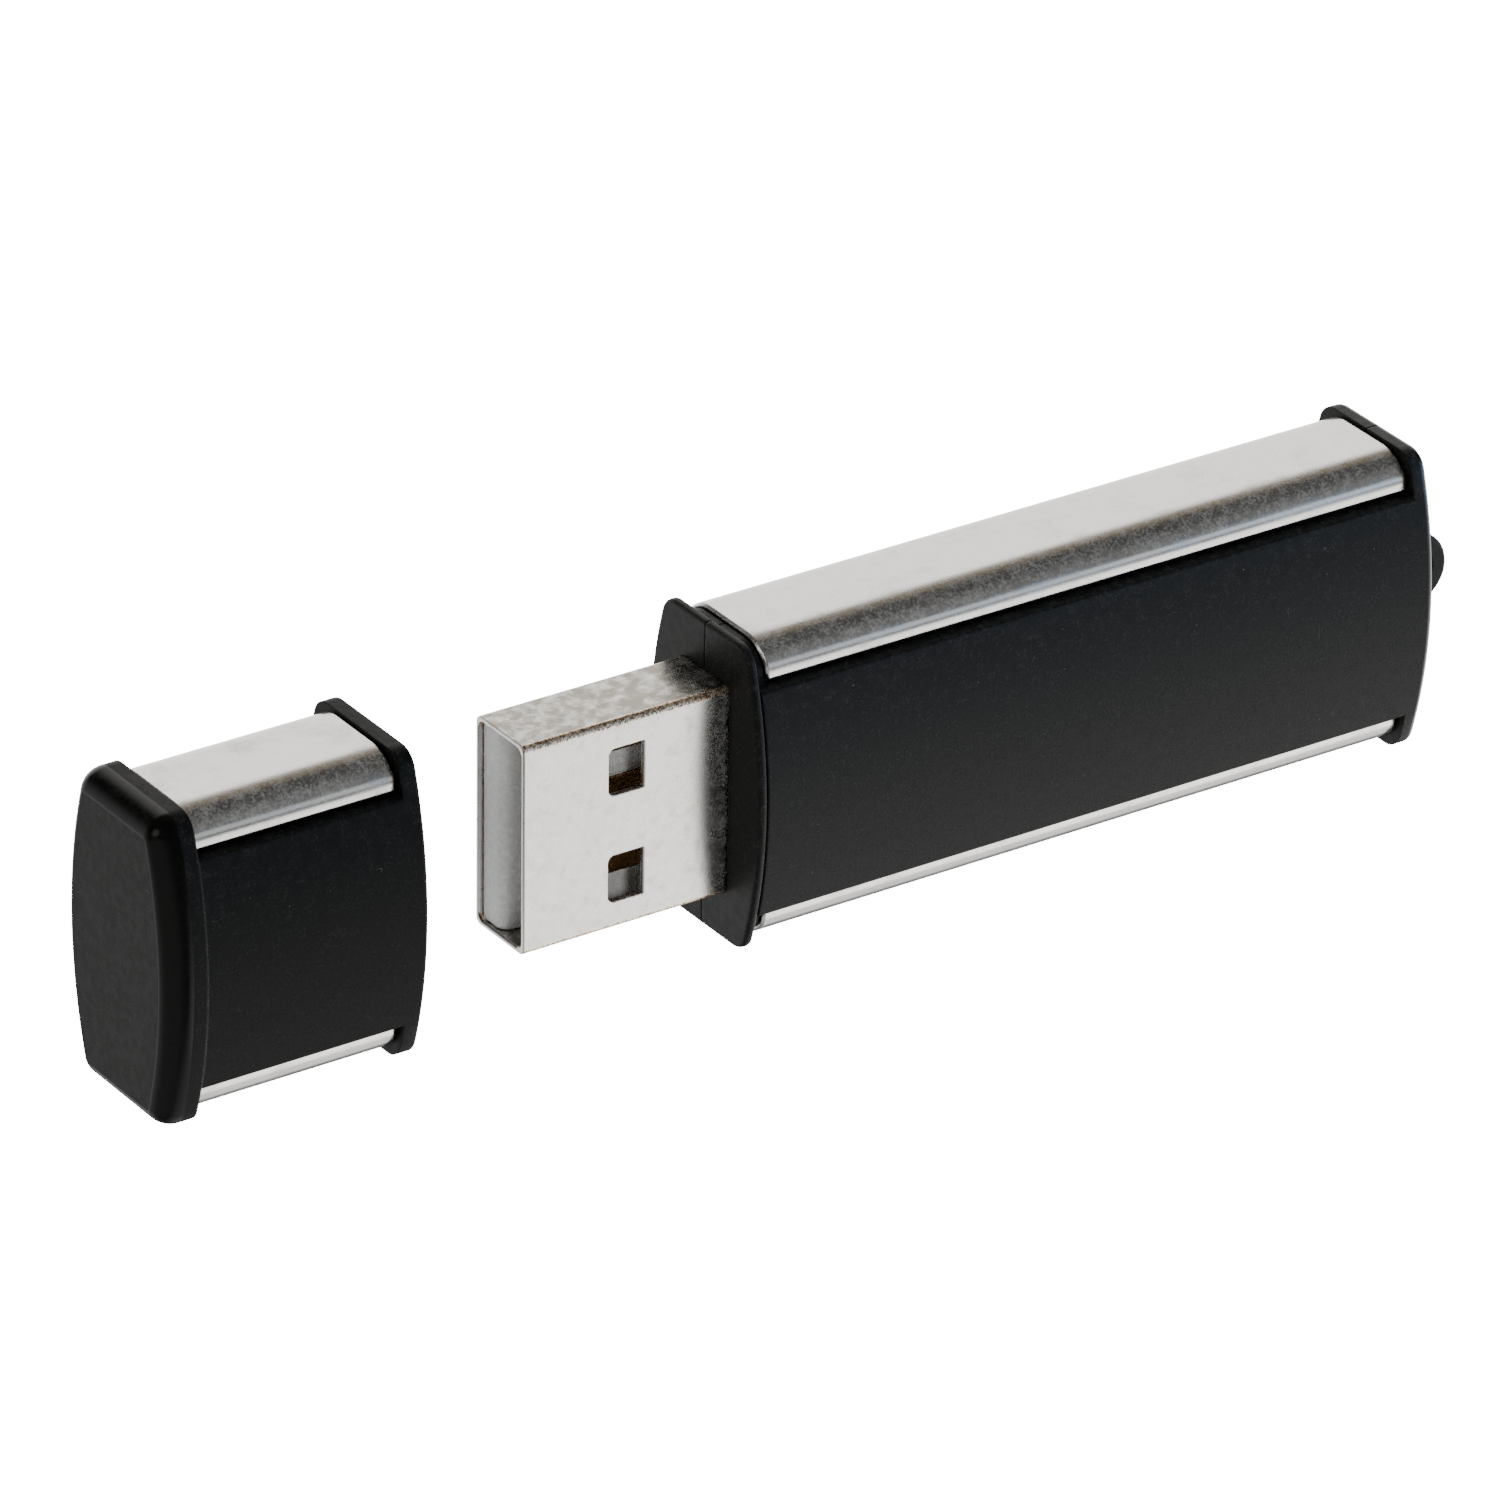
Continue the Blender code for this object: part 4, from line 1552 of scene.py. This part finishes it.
@dataclass(frozen=True)
class Plug:
    """The plug: folded steel shell, white tongue and four gold contacts."""

    sheet: float = 0.3
    corner: float = 0.42
    least_corner: float = 0.1
    rim_round: float = 0.09
    bore_flare: float = 0.1
    bore_flare_length: float = 0.12
    tail_step: float = 0.1
    step_gap: float = 0.15
    window_start: float = 5.17
    window_length: float = 2.1
    window_height: float = 2.63
    window_offset: float = 3.07
    window_round: float = 0.33
    window_break: float = 0.1
    punched_corner: float = 0.05
    seam: float = 0.05
    seam_share: float = 0.6
    dovetail: float = 0.9
    dovetail_places: tuple[float, float] = (3.1, 3.4)
    tongue_slot: float = 0.08
    slot_ahead: float = 0.1
    tongue_recess: float = 0.25
    tongue_lead: float = 0.7
    tongue_corners: tuple[float, ...] = (0.02, 0.02, 0.05)
    root_start: float = -3.2
    root_inset: float = 0.2
    root_sink: float = 0.1
    contact_round: float = 0.05
    contact_sink: float = 0.03
    contact_dip: float = 0.5
    past: float = 1.0
    fit: float = 0.05

    def rim_section(self, half_y: float, half_z: float, inset: float) -> Outline:
        """Return a section of the shell, set in by a depth.

        Args:
            half_y: Half of its thickness before it is set in.
            half_z: Half of its width.
            inset: The depth.

        Returns:
            The outline.
        """
        radius = max(self.corner - inset, self.least_corner)
        return rounded(rectangle(half_y - inset, half_z - inset), [radius] * 4, 7)

    def window(self, centre: float, tip: float) -> bmesh.types.BMesh:
        """Return the tool for one pair of windows, rounded towards the tip.

        Args:
            centre: The window's height.
            tip: Where the plug's tip is.

        Returns:
            The tool, right through the plug.
        """
        start = tip + self.window_start
        end = start + self.window_length
        low, high = centre - self.window_height / 2, centre + self.window_height / 2
        corners = [(start, low), (end, low), (end, high), (start, high)]
        sharp, reach = self.punched_corner, 4.0
        outline = rounded(corners, [self.window_round, sharp, sharp, self.window_round], 5)
        return along_y(outline, -reach, reach)

    def seam_outline(self, start: float, end: float) -> Outline:
        """Return the folded shell's seam, with two dovetails, as a thin closed outline.

        Args:
            start: Where the seam starts along X.
            end: Where it ends.

        Returns:
            The outline in (x, z).
        """
        half, neck = self.dovetail / 2, self.dovetail / 3
        after, before = self.dovetail_places
        path = [(start, 0.0)]
        for centre in (start + after, end - before):
            path += [(centre - neck, 0.0), (centre - half, half)]
            path += [(centre + half, half), (centre + neck, 0.0)]
        return ribbon(path + [(end, 0.0)], self.seam / 2)

    def bore(self, low: Vector, high: Vector) -> bmesh.types.BMesh:
        """Return the tool for the shell's bore, which flares a little at the tip.

        Args:
            low: The shell's lowest corner.
            high: Its highest corner.

        Returns:
            The tool.
        """
        half_y, half_z = high.y - self.sheet, high.z - self.sheet
        rows = [(low.x - self.past / 2, -self.bore_flare), (low.x, -self.bore_flare)]
        rows += [(low.x + self.bore_flare_length, 0.0), (high.x + self.past, 0.0)]
        return loft([(x, self.rim_section(half_y, half_z, inset)) for x, inset in rows])

    def build_shell(self, finish: bpy.types.Material) -> bpy.types.Object:
        """Build the steel shell and place it.

        Args:
            finish: Its material.

        Returns:
            The piece.
        """
        low, high = LAYOUT.box("plug_shell")
        pairs = RoundedEnd(self.rim_round, steps=4).stations(low.x, 1.0) + [(high.x, 0.0)]
        outer = loft([(x, self.rim_section(high.y, high.z, inset)) for x, inset in pairs])
        blank = Blank("plug_shell", outer).use(Operation.CUT, self.bore(low, high))
        for centre in (-self.window_offset, self.window_offset):
            blank.use(Operation.CUT, self.window(centre, low.x))
        for sign in (-1.0, 1.0):
            faces = sorted((sign * (high.y - self.tail_step), sign * (high.y + self.past)))
            step_low = (-self.step_gap, faces[0], low.z - self.past)
            step_high = (high.x + self.past, faces[1], high.z + self.past)
            blank.use(Operation.CUT, block(step_low, step_high))
        seam = self.seam_outline(low.x - self.past / 2, high.x + self.past / 2)
        floor = high.y - self.sheet * self.seam_share
        blank.use(Operation.CUT, along_y(seam, floor, high.y + self.past / 2))
        mesh = blank.solid()
        self.soften_windows(mesh, low, high)
        return place_piece("plug_shell_sheet", mesh, finish, Body.DRIVE, "plug_shell")

    def soften_windows(self, mesh: bmesh.types.BMesh, low: Vector, high: Vector) -> None:
        """Round the outer edges of the windows, as a punch leaves them.

        Args:
            mesh: The shell.
            low: Its lowest corner.
            high: Its highest corner.
        """
        start = low.x + self.window_start
        end = start + self.window_length
        reach = self.window_offset + self.window_height / 2 + IN_PLANE

        def on_rim(vertex: bmesh.types.BMVert) -> bool:
            """Return whether a vertex is on a window's outer edge."""
            beside = start - IN_PLANE < vertex.co.x < end + IN_PLANE and abs(vertex.co.z) < reach
            return beside and abs(abs(vertex.co.y) - high.y) < IN_PLANE

        rims = [edge for edge in mesh.edges if edge.is_manifold and all(map(on_rim, edge.verts))]
        bent = [edge for edge in rims if edge.calc_face_angle() > math.radians(45)]
        round_edges(mesh, bent, self.window_break, 3)

    def build_tongue(self, finish: bpy.types.Material) -> bpy.types.Object:
        """Build the white tongue, with a slot for each contact and a block at its root.

        Args:
            finish: Its material.

        Returns:
            The piece.
        """
        low, high = LAYOUT.box("plug_tongue")
        shell_low, shell_high = LAYOUT.box("plug_shell")
        inner_y = self.sheet + self.fit
        start, back = shell_low.x + self.tongue_recess, shell_high.y - inner_y
        corners = [(start, low.y), (high.x, low.y), (high.x, back), (start, back)]
        outline = rounded(corners, [self.tongue_lead, *self.tongue_corners], 8)
        body = extruded([(x, y, low.z) for x, y in outline], (0.0, 0.0, high.z - low.z))
        blank = Blank("plug_tongue", body)
        root_low = (self.root_start, shell_low.y + inner_y, low.z)
        root_high = (high.x - self.root_inset, high.y - self.root_sink, high.z)
        blank.use(Operation.JOIN, block(root_low, root_high, self.contact_round))
        for node in self.contact_nodes():
            near, far = LAYOUT.box(node)
            slot_low = (near.x - self.slot_ahead, low.y - self.past, near.z - self.tongue_slot)
            slot_high = (far.x, low.y + self.tongue_slot, far.z + self.tongue_slot)
            blank.use(Operation.CUT, block(slot_low, slot_high))
        mesh, slot = blank.solid(), Slot.WHITE_INSULATOR
        return place_piece("plug_tongue_body", mesh, finish, Body.DRIVE, "plug_tongue")

    @staticmethod
    def contact_nodes() -> tuple[str, ...]:
        """Return the contacts' node names."""
        return ("contact_power", "contact_data_minus", "contact_data_plus", "contact_ground")

    def build_contact(self, node: str, finish: bpy.types.Material) -> bpy.types.Object:
        """Build one contact strip with a rounded, dipped tip.

        Args:
            node: The frame's node that it stands for.
            finish: Its material.

        Returns:
            The piece.
        """
        low, high = LAYOUT.box(node)
        mesh = block(low, (high.x, high.y + self.contact_sink, high.z), self.contact_round)
        for vertex in mesh.verts:
            ahead = low.x + self.contact_dip - vertex.co.x
            if ahead > 0:
                vertex.co.y += ahead**2 / self.contact_dip / 4
        return place_piece(node + "_strip", mesh, finish, Body.DRIVE, node)


# --- Cap ---


@dataclass(frozen=True)
class Cap:
    """The slide-on cap: one black moulding with a broad rounded end and a ribbed cavity."""

    end_rim: float = 2.25
    end_round: float = 1.5
    facet_angle: float = 17.0
    mouth_flange: float = 1.0
    mouth_round: float = 0.2
    panel_sink: float = 0.03
    wall: float = 1.2
    cavity_width: float = 13.2
    cavity_corner: float = 1.4
    plug_clearance: float = 0.4
    slide_fit: float = 0.12
    rib: float = 0.8
    rib_offset: float = 3.4
    rib_round: float = 0.08
    rib_root: float = 0.5
    mouth_recess: float = 0.9
    section: BarrelSection = field(default_factory=lambda: BarrelSection.from_frame("cap_shell"))

    def outer(self, closed: float, mouth: float) -> bmesh.types.BMesh:
        """Return the outer form: a broad rounding round a flat facet, then slightly lower sides.

        Args:
            closed: Where the closed end is.
            mouth: Where the mouth is.

        Returns:
            The closed mesh.
        """
        rim_end = closed + self.end_rim
        pairs = RoundedEnd(self.end_round, self.facet_angle, 12).stations(closed, 1.0)
        pairs += [(rim_end, 0.0), (rim_end + self.panel_sink, self.panel_sink)]
        ends = RoundedEnd(self.mouth_round).stations(mouth, -1.0)
        pairs += [(x, inset + self.panel_sink) for x, inset in reversed(ends)]
        return loft([(x, self.section.flange(inset)) for x, inset in pairs])

    def ribs(self, mouth: float, floor: float) -> list[bmesh.types.BMesh]:
        """Return the ribs that grip the plug.

        Args:
            mouth: Where the cap's mouth is.
            floor: Where its cavity ends.

        Returns:
            Six solids that reach into the cavity's walls.
        """
        plug = LAYOUT.box("plug_shell")[1]
        start, end = floor - self.rib_root, mouth - self.mouth_recess
        near, far = plug.y + self.slide_fit, self.section.thickness / 2 - self.wall
        half = self.rib / 2
        rows = []
        for centre in (-self.rib_offset, self.rib_offset):
            for first, last in ((near, far), (-far, -near)):
                rows.append(((start, first, centre - half), (end, last, centre + half)))
        near, far = plug.z + self.slide_fit, self.cavity_width / 2 + self.rib_root
        for first, last in ((near, far), (-far, -near)):
            rows.append(((start, -half, first), (end, half, last)))
        return [block(low, high, self.rib_round, 2) for low, high in rows]

    def build(self, finish: bpy.types.Material, polish: bpy.types.Material) -> bpy.types.Object:
        """Build the moulding and place it.

        Args:
            finish: Its grained material.
            polish: The glossier material of the rounding at its closed end, its darker colour
                painted shade.

        Returns:
            The piece.
        """
        low, high = LAYOUT.box("cap_shell")
        blank = Blank("cap_shell", self.outer(low.x, high.x))
        seat = BandSeat(self.section, SteelBand("cap_top_band", Body.CAP).section())
        start, end = low.x + self.end_rim, high.x - self.mouth_flange
        for upper in (True, False):
            blank.use(Operation.CUT, seat.pocket(seat.band.sheet + seat.fit, start, end, upper))
        floor = high.x + LAYOUT.box("plug_shell")[0].x - self.plug_clearance
        cavity = self.section.outline(self.cavity_width / 2, self.cavity_corner, self.wall)
        blank.use(Operation.CUT, along_x(cavity, floor, high.x + 1.0))
        for rib in self.ribs(high.x, floor):
            blank.use(Operation.JOIN, rib)
        mesh, slot = blank.solid(), Slot.CAP_PLASTIC
        piece = place_piece("cap_moulding", mesh, finish, Body.CAP, "cap_shell")
        polish_faces(piece, polish, low.x, low.x + self.end_round, 0.0)
        return piece


# --- Inside ---


@dataclass(frozen=True)
class Electronics:
    """The board and its components, which keep their frame nodes and get their finishes."""

    resin: tuple[str, ...] = ("memory_chip", "controller_chip", "voltage_regulator")
    capacitors: tuple[str, ...] = ("capacitor_1", "capacitor_2", "capacitor_3", "capacitor_4")
    resistors: tuple[str, ...] = ("resistor_1", "resistor_2", "resistor_3")

    def dress(self) -> None:
        """Give every component its finish."""
        rows = [
            (BOARD_GREEN, ("circuit_board",)),
            (RESIN_BLACK, self.resin),
            (CERAMIC_TAN, self.capacitors),
            (CERAMIC_DARK, self.resistors),
            (LENS_CLEAR, ("activity_light",)),
            (CAN_SILVER, ("crystal",)),
        ]
        for finish, nodes in rows:
            made = finish.material()
            for node in nodes:
                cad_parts[node].material_slots[0].material = made
                LOG.info("%s: dressed in %s", node, made.name)


# --- Studio ---


@dataclass(frozen=True)
class Softbox:
    """A soft patch of light in the sky, full up to the inner angle and gone at the outer one."""

    towards: tuple[float, float, float]
    inner: float
    outer: float
    colour: Colour

    def light(self, bench: NodeBench, way: Socket) -> Socket:
        """Return the light that a ray meets.

        Args:
            bench: The world's node bench.
            way: The ray's direction.

        Returns:
            The colour, black outside the patch.
        """
        toward = tuple(Vector(self.towards).normalized())
        facing = bench.vector("DOT_PRODUCT", way, toward, "Value")
        edges = [math.cos(math.radians(angle)) for angle in (self.outer, self.inner)]
        return bench.vector("MULTIPLY", bench.span(facing, *edges), self.colour)


@dataclass(frozen=True)
class Studio:
    """The pale floor, the soft light round it and the camera."""

    room_low: Colour = (0.24, 0.24, 0.235)
    room_high: Colour = (0.075, 0.073, 0.07)
    room_span: tuple[float, float] = (-0.25, 0.3)
    softboxes: tuple[Softbox, ...] = (
        Softbox((0.45, 0.8, 0.2), 28.0, 46.0, (2.15, 2.12, 2.05)),
        Softbox((0.5, 0.3, 0.82), 3.0, 15.0, (0.2, 0.15, 0.09)),
        Softbox((0.5, -0.73, -0.45), 9.0, 22.0, (1.62, 1.6, 1.56)),
        Softbox((0.86, -0.42, -0.3), 8.0, 36.0, (1.3, 1.28, 1.22)),
        Softbox((0.45, -0.35, -0.82), 18.0, 42.0, (1.2, 1.2, 1.18)),
        Softbox((0.5, -0.83, 0.23), 3.0, 14.0, (0.66, 0.65, 0.62)),
        Softbox((0.5, -0.64, 0.58), 4.0, 30.0, (0.12, 0.12, 0.115)),
        Softbox((0.86, -0.5, 0.1), 6.0, 27.0, (1.3, 2.4, 4.0)),
        Softbox((-0.75, -0.5, -0.45), 20.0, 50.0, (0.5, 0.5, 0.49)),
        Softbox((-0.6, 0.7, -0.35), 22.0, 52.0, (1.35, 1.36, 1.35)),
        Softbox((-0.82, -0.16, 0.53), 7.0, 18.0, (2.8, 2.8, 2.7)),
        Softbox((0.88, 0.06, -0.46), 14.0, 28.0, (4.0, 4.0, 3.9)),
    )
    azimuth: float = -34.22
    elevation: float = 27.79
    roll: float = 0.84
    distance: float = 576.3
    lens: float = 269.4
    sensor: float = 36.0
    aim: tuple[float, float, float] = (2.876, 0.0, 0.591)
    clip: tuple[float, float] = (0.01, 10.0)
    floor_radius: float = 4000.0
    floor_glow: float = 16.0
    key_size: float = 900.0
    key_height: float = 1200.0
    key_power: float = 9.0
    fill_size: float = 260.0
    fill_place: tuple[float, float, float] = (-180.0, -860.0, 480.0)
    fill_power: float = 2.5

    def build_floor(self) -> bpy.types.Object:
        """Build the floor, a wide pale disc under the drive."""
        mesh = bmesh.new()
        rim = arc((0.0, 0.0), self.floor_radius * MM, 0.0, 2 * math.pi, 64)[:-1]
        mesh.faces.new([mesh.verts.new((x, y, 0.0)) for x, y in rim])
        floor = scene_object("floor", mesh)
        floor.data.materials.append(self.floor_material())
        floor.visible_glossy = False
        floor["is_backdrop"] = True
        return floor

    def floor_material(self) -> bpy.types.Material:
        """Return the pale floor finish, which the camera sees nearly white."""
        made, bench, shader = new_material("pale_floor")
        shader.inputs["Base Color"].default_value = opaque((0.9, 0.9, 0.9))
        shader.inputs["Roughness"].default_value = 0.9
        shader.inputs["Specular IOR Level"].default_value = 0.0
        path = bench.add("ShaderNodeLightPath")
        glow = bench.math("MULTIPLY", path.outputs["Is Camera Ray"], self.floor_glow)
        shader.inputs["Emission Color"].default_value = opaque((1.0, 1.0, 1.0))
        bench.feed(shader.inputs["Emission Strength"], glow)
        return made

    def build_sky(self) -> None:
        """Build the light round the drive: a dim room with a few large softboxes."""
        world = bpy.data.worlds.new("studio")
        bpy.context.scene.world = world
        world.use_nodes = True
        bench = NodeBench(world.node_tree)
        way = bench.add("ShaderNodeTexCoord").outputs["Generated"]
        light = self.room_light(bench, way)
        for box in self.softboxes:
            light = bench.vector("ADD", light, box.light(bench, way))
        bench.feed(world.node_tree.nodes["Background"].inputs["Color"], light)

    def room_light(self, bench: NodeBench, way: Socket) -> Socket:
        """Return the dim light of the room, from under the horizon up to overhead.

        Args:
            bench: The world's node bench.
            way: The ray's direction.

        Returns:
            The colour.
        """
        height = bench.span(bench.parts(way)["Z"], *self.room_span)
        return bench.blend(height, opaque(self.room_low), opaque(self.room_high))

    def build_lamp(self, name: str, place: Vector, size: float, power: float) -> None:
        """Build a round soft lamp that lights matt surfaces and shows in no reflection.

        Args:
            name: The lamp's name.
            place: Where it hangs, in millimetres from the middle of the floor.
            size: How wide it is.
            power: Its power in watts.
        """
        data = bpy.data.lights.new(name, "AREA")
        data.shape = "DISK"
        data.size = size * MM
        data.energy = power
        lamp = bpy.data.objects.new(name, data)
        lamp.location = place * MM
        lamp.rotation_mode = "QUATERNION"
        lamp.rotation_quaternion = place.to_track_quat("Z", "Y")
        lamp.visible_glossy = False
        bpy.context.scene.collection.objects.link(lamp)

    def build_camera(self) -> None:
        """Build the camera."""
        angle, rise = math.radians(self.azimuth), math.radians(self.elevation)
        level = math.cos(rise)
        back = Vector((math.sin(angle) * level, -math.cos(angle) * level, math.sin(rise)))
        data = bpy.data.cameras.new("camera")
        data.lens = self.lens
        data.sensor_width = self.sensor
        data.clip_start, data.clip_end = self.clip
        camera = bpy.data.objects.new("camera", data)
        camera.rotation_mode = "QUATERNION"
        turn = back.to_track_quat("Z", "Y").to_matrix().to_4x4()
        place = LAYOUT.world(self.aim) + back * self.distance * MM
        rolled = turn @ Matrix.Rotation(math.radians(self.roll), 4, "Z")
        camera.matrix_world = Matrix.Translation(place) @ rolled
        bpy.context.scene.collection.objects.link(camera)
        bpy.context.scene.camera = camera

    def build(self) -> None:
        """Build floor, lights and camera."""
        self.build_floor()
        self.build_sky()
        self.build_lamp("key", Vector((0.0, 0.0, self.key_height)), self.key_size, self.key_power)
        self.build_lamp("fill", Vector(self.fill_place), self.fill_size, self.fill_power)
        self.build_camera()


def write_sizes() -> None:
    """Gather the frame's box and the visual model's box; nothing is written."""
    boxes = {"cad": CAD_BOX, "visual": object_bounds()}
    boxes = {name: [list(corner) for corner in box] for name, box in boxes.items()}


def main() -> None:
    """Build the drive, the cap and the studio in order."""
    logging.basicConfig(level=logging.INFO, format="%(message)s")
    black, sheen = HOUSING_BLACK.material(), HOUSING_POLISH.material()
    steel = BAND_STEEL.material()
    housing = Housing()
    for side in Side:
        housing.build_half(side, black, sheen)
    for node in ("top_band", "bottom_band"):
        SteelBand(node, Body.DRIVE).build(steel)
    plug = Plug()
    plug.build_shell(PLUG_STEEL.material())
    plug.build_tongue(TONGUE_WHITE.material())
    gold = CONTACT_GOLD.material()
    for node in plug.contact_nodes():
        plug.build_contact(node, gold)
    Electronics().dress()
    Cap().build(CAP_BLACK.material(), CAP_POLISH_SHADED.material())
    for node in ("cap_top_band", "cap_bottom_band"):
        SteelBand(node, Body.CAP).build(steel)
    Studio().build()
    write_sizes()


if __name__ == "__main__":
    main()
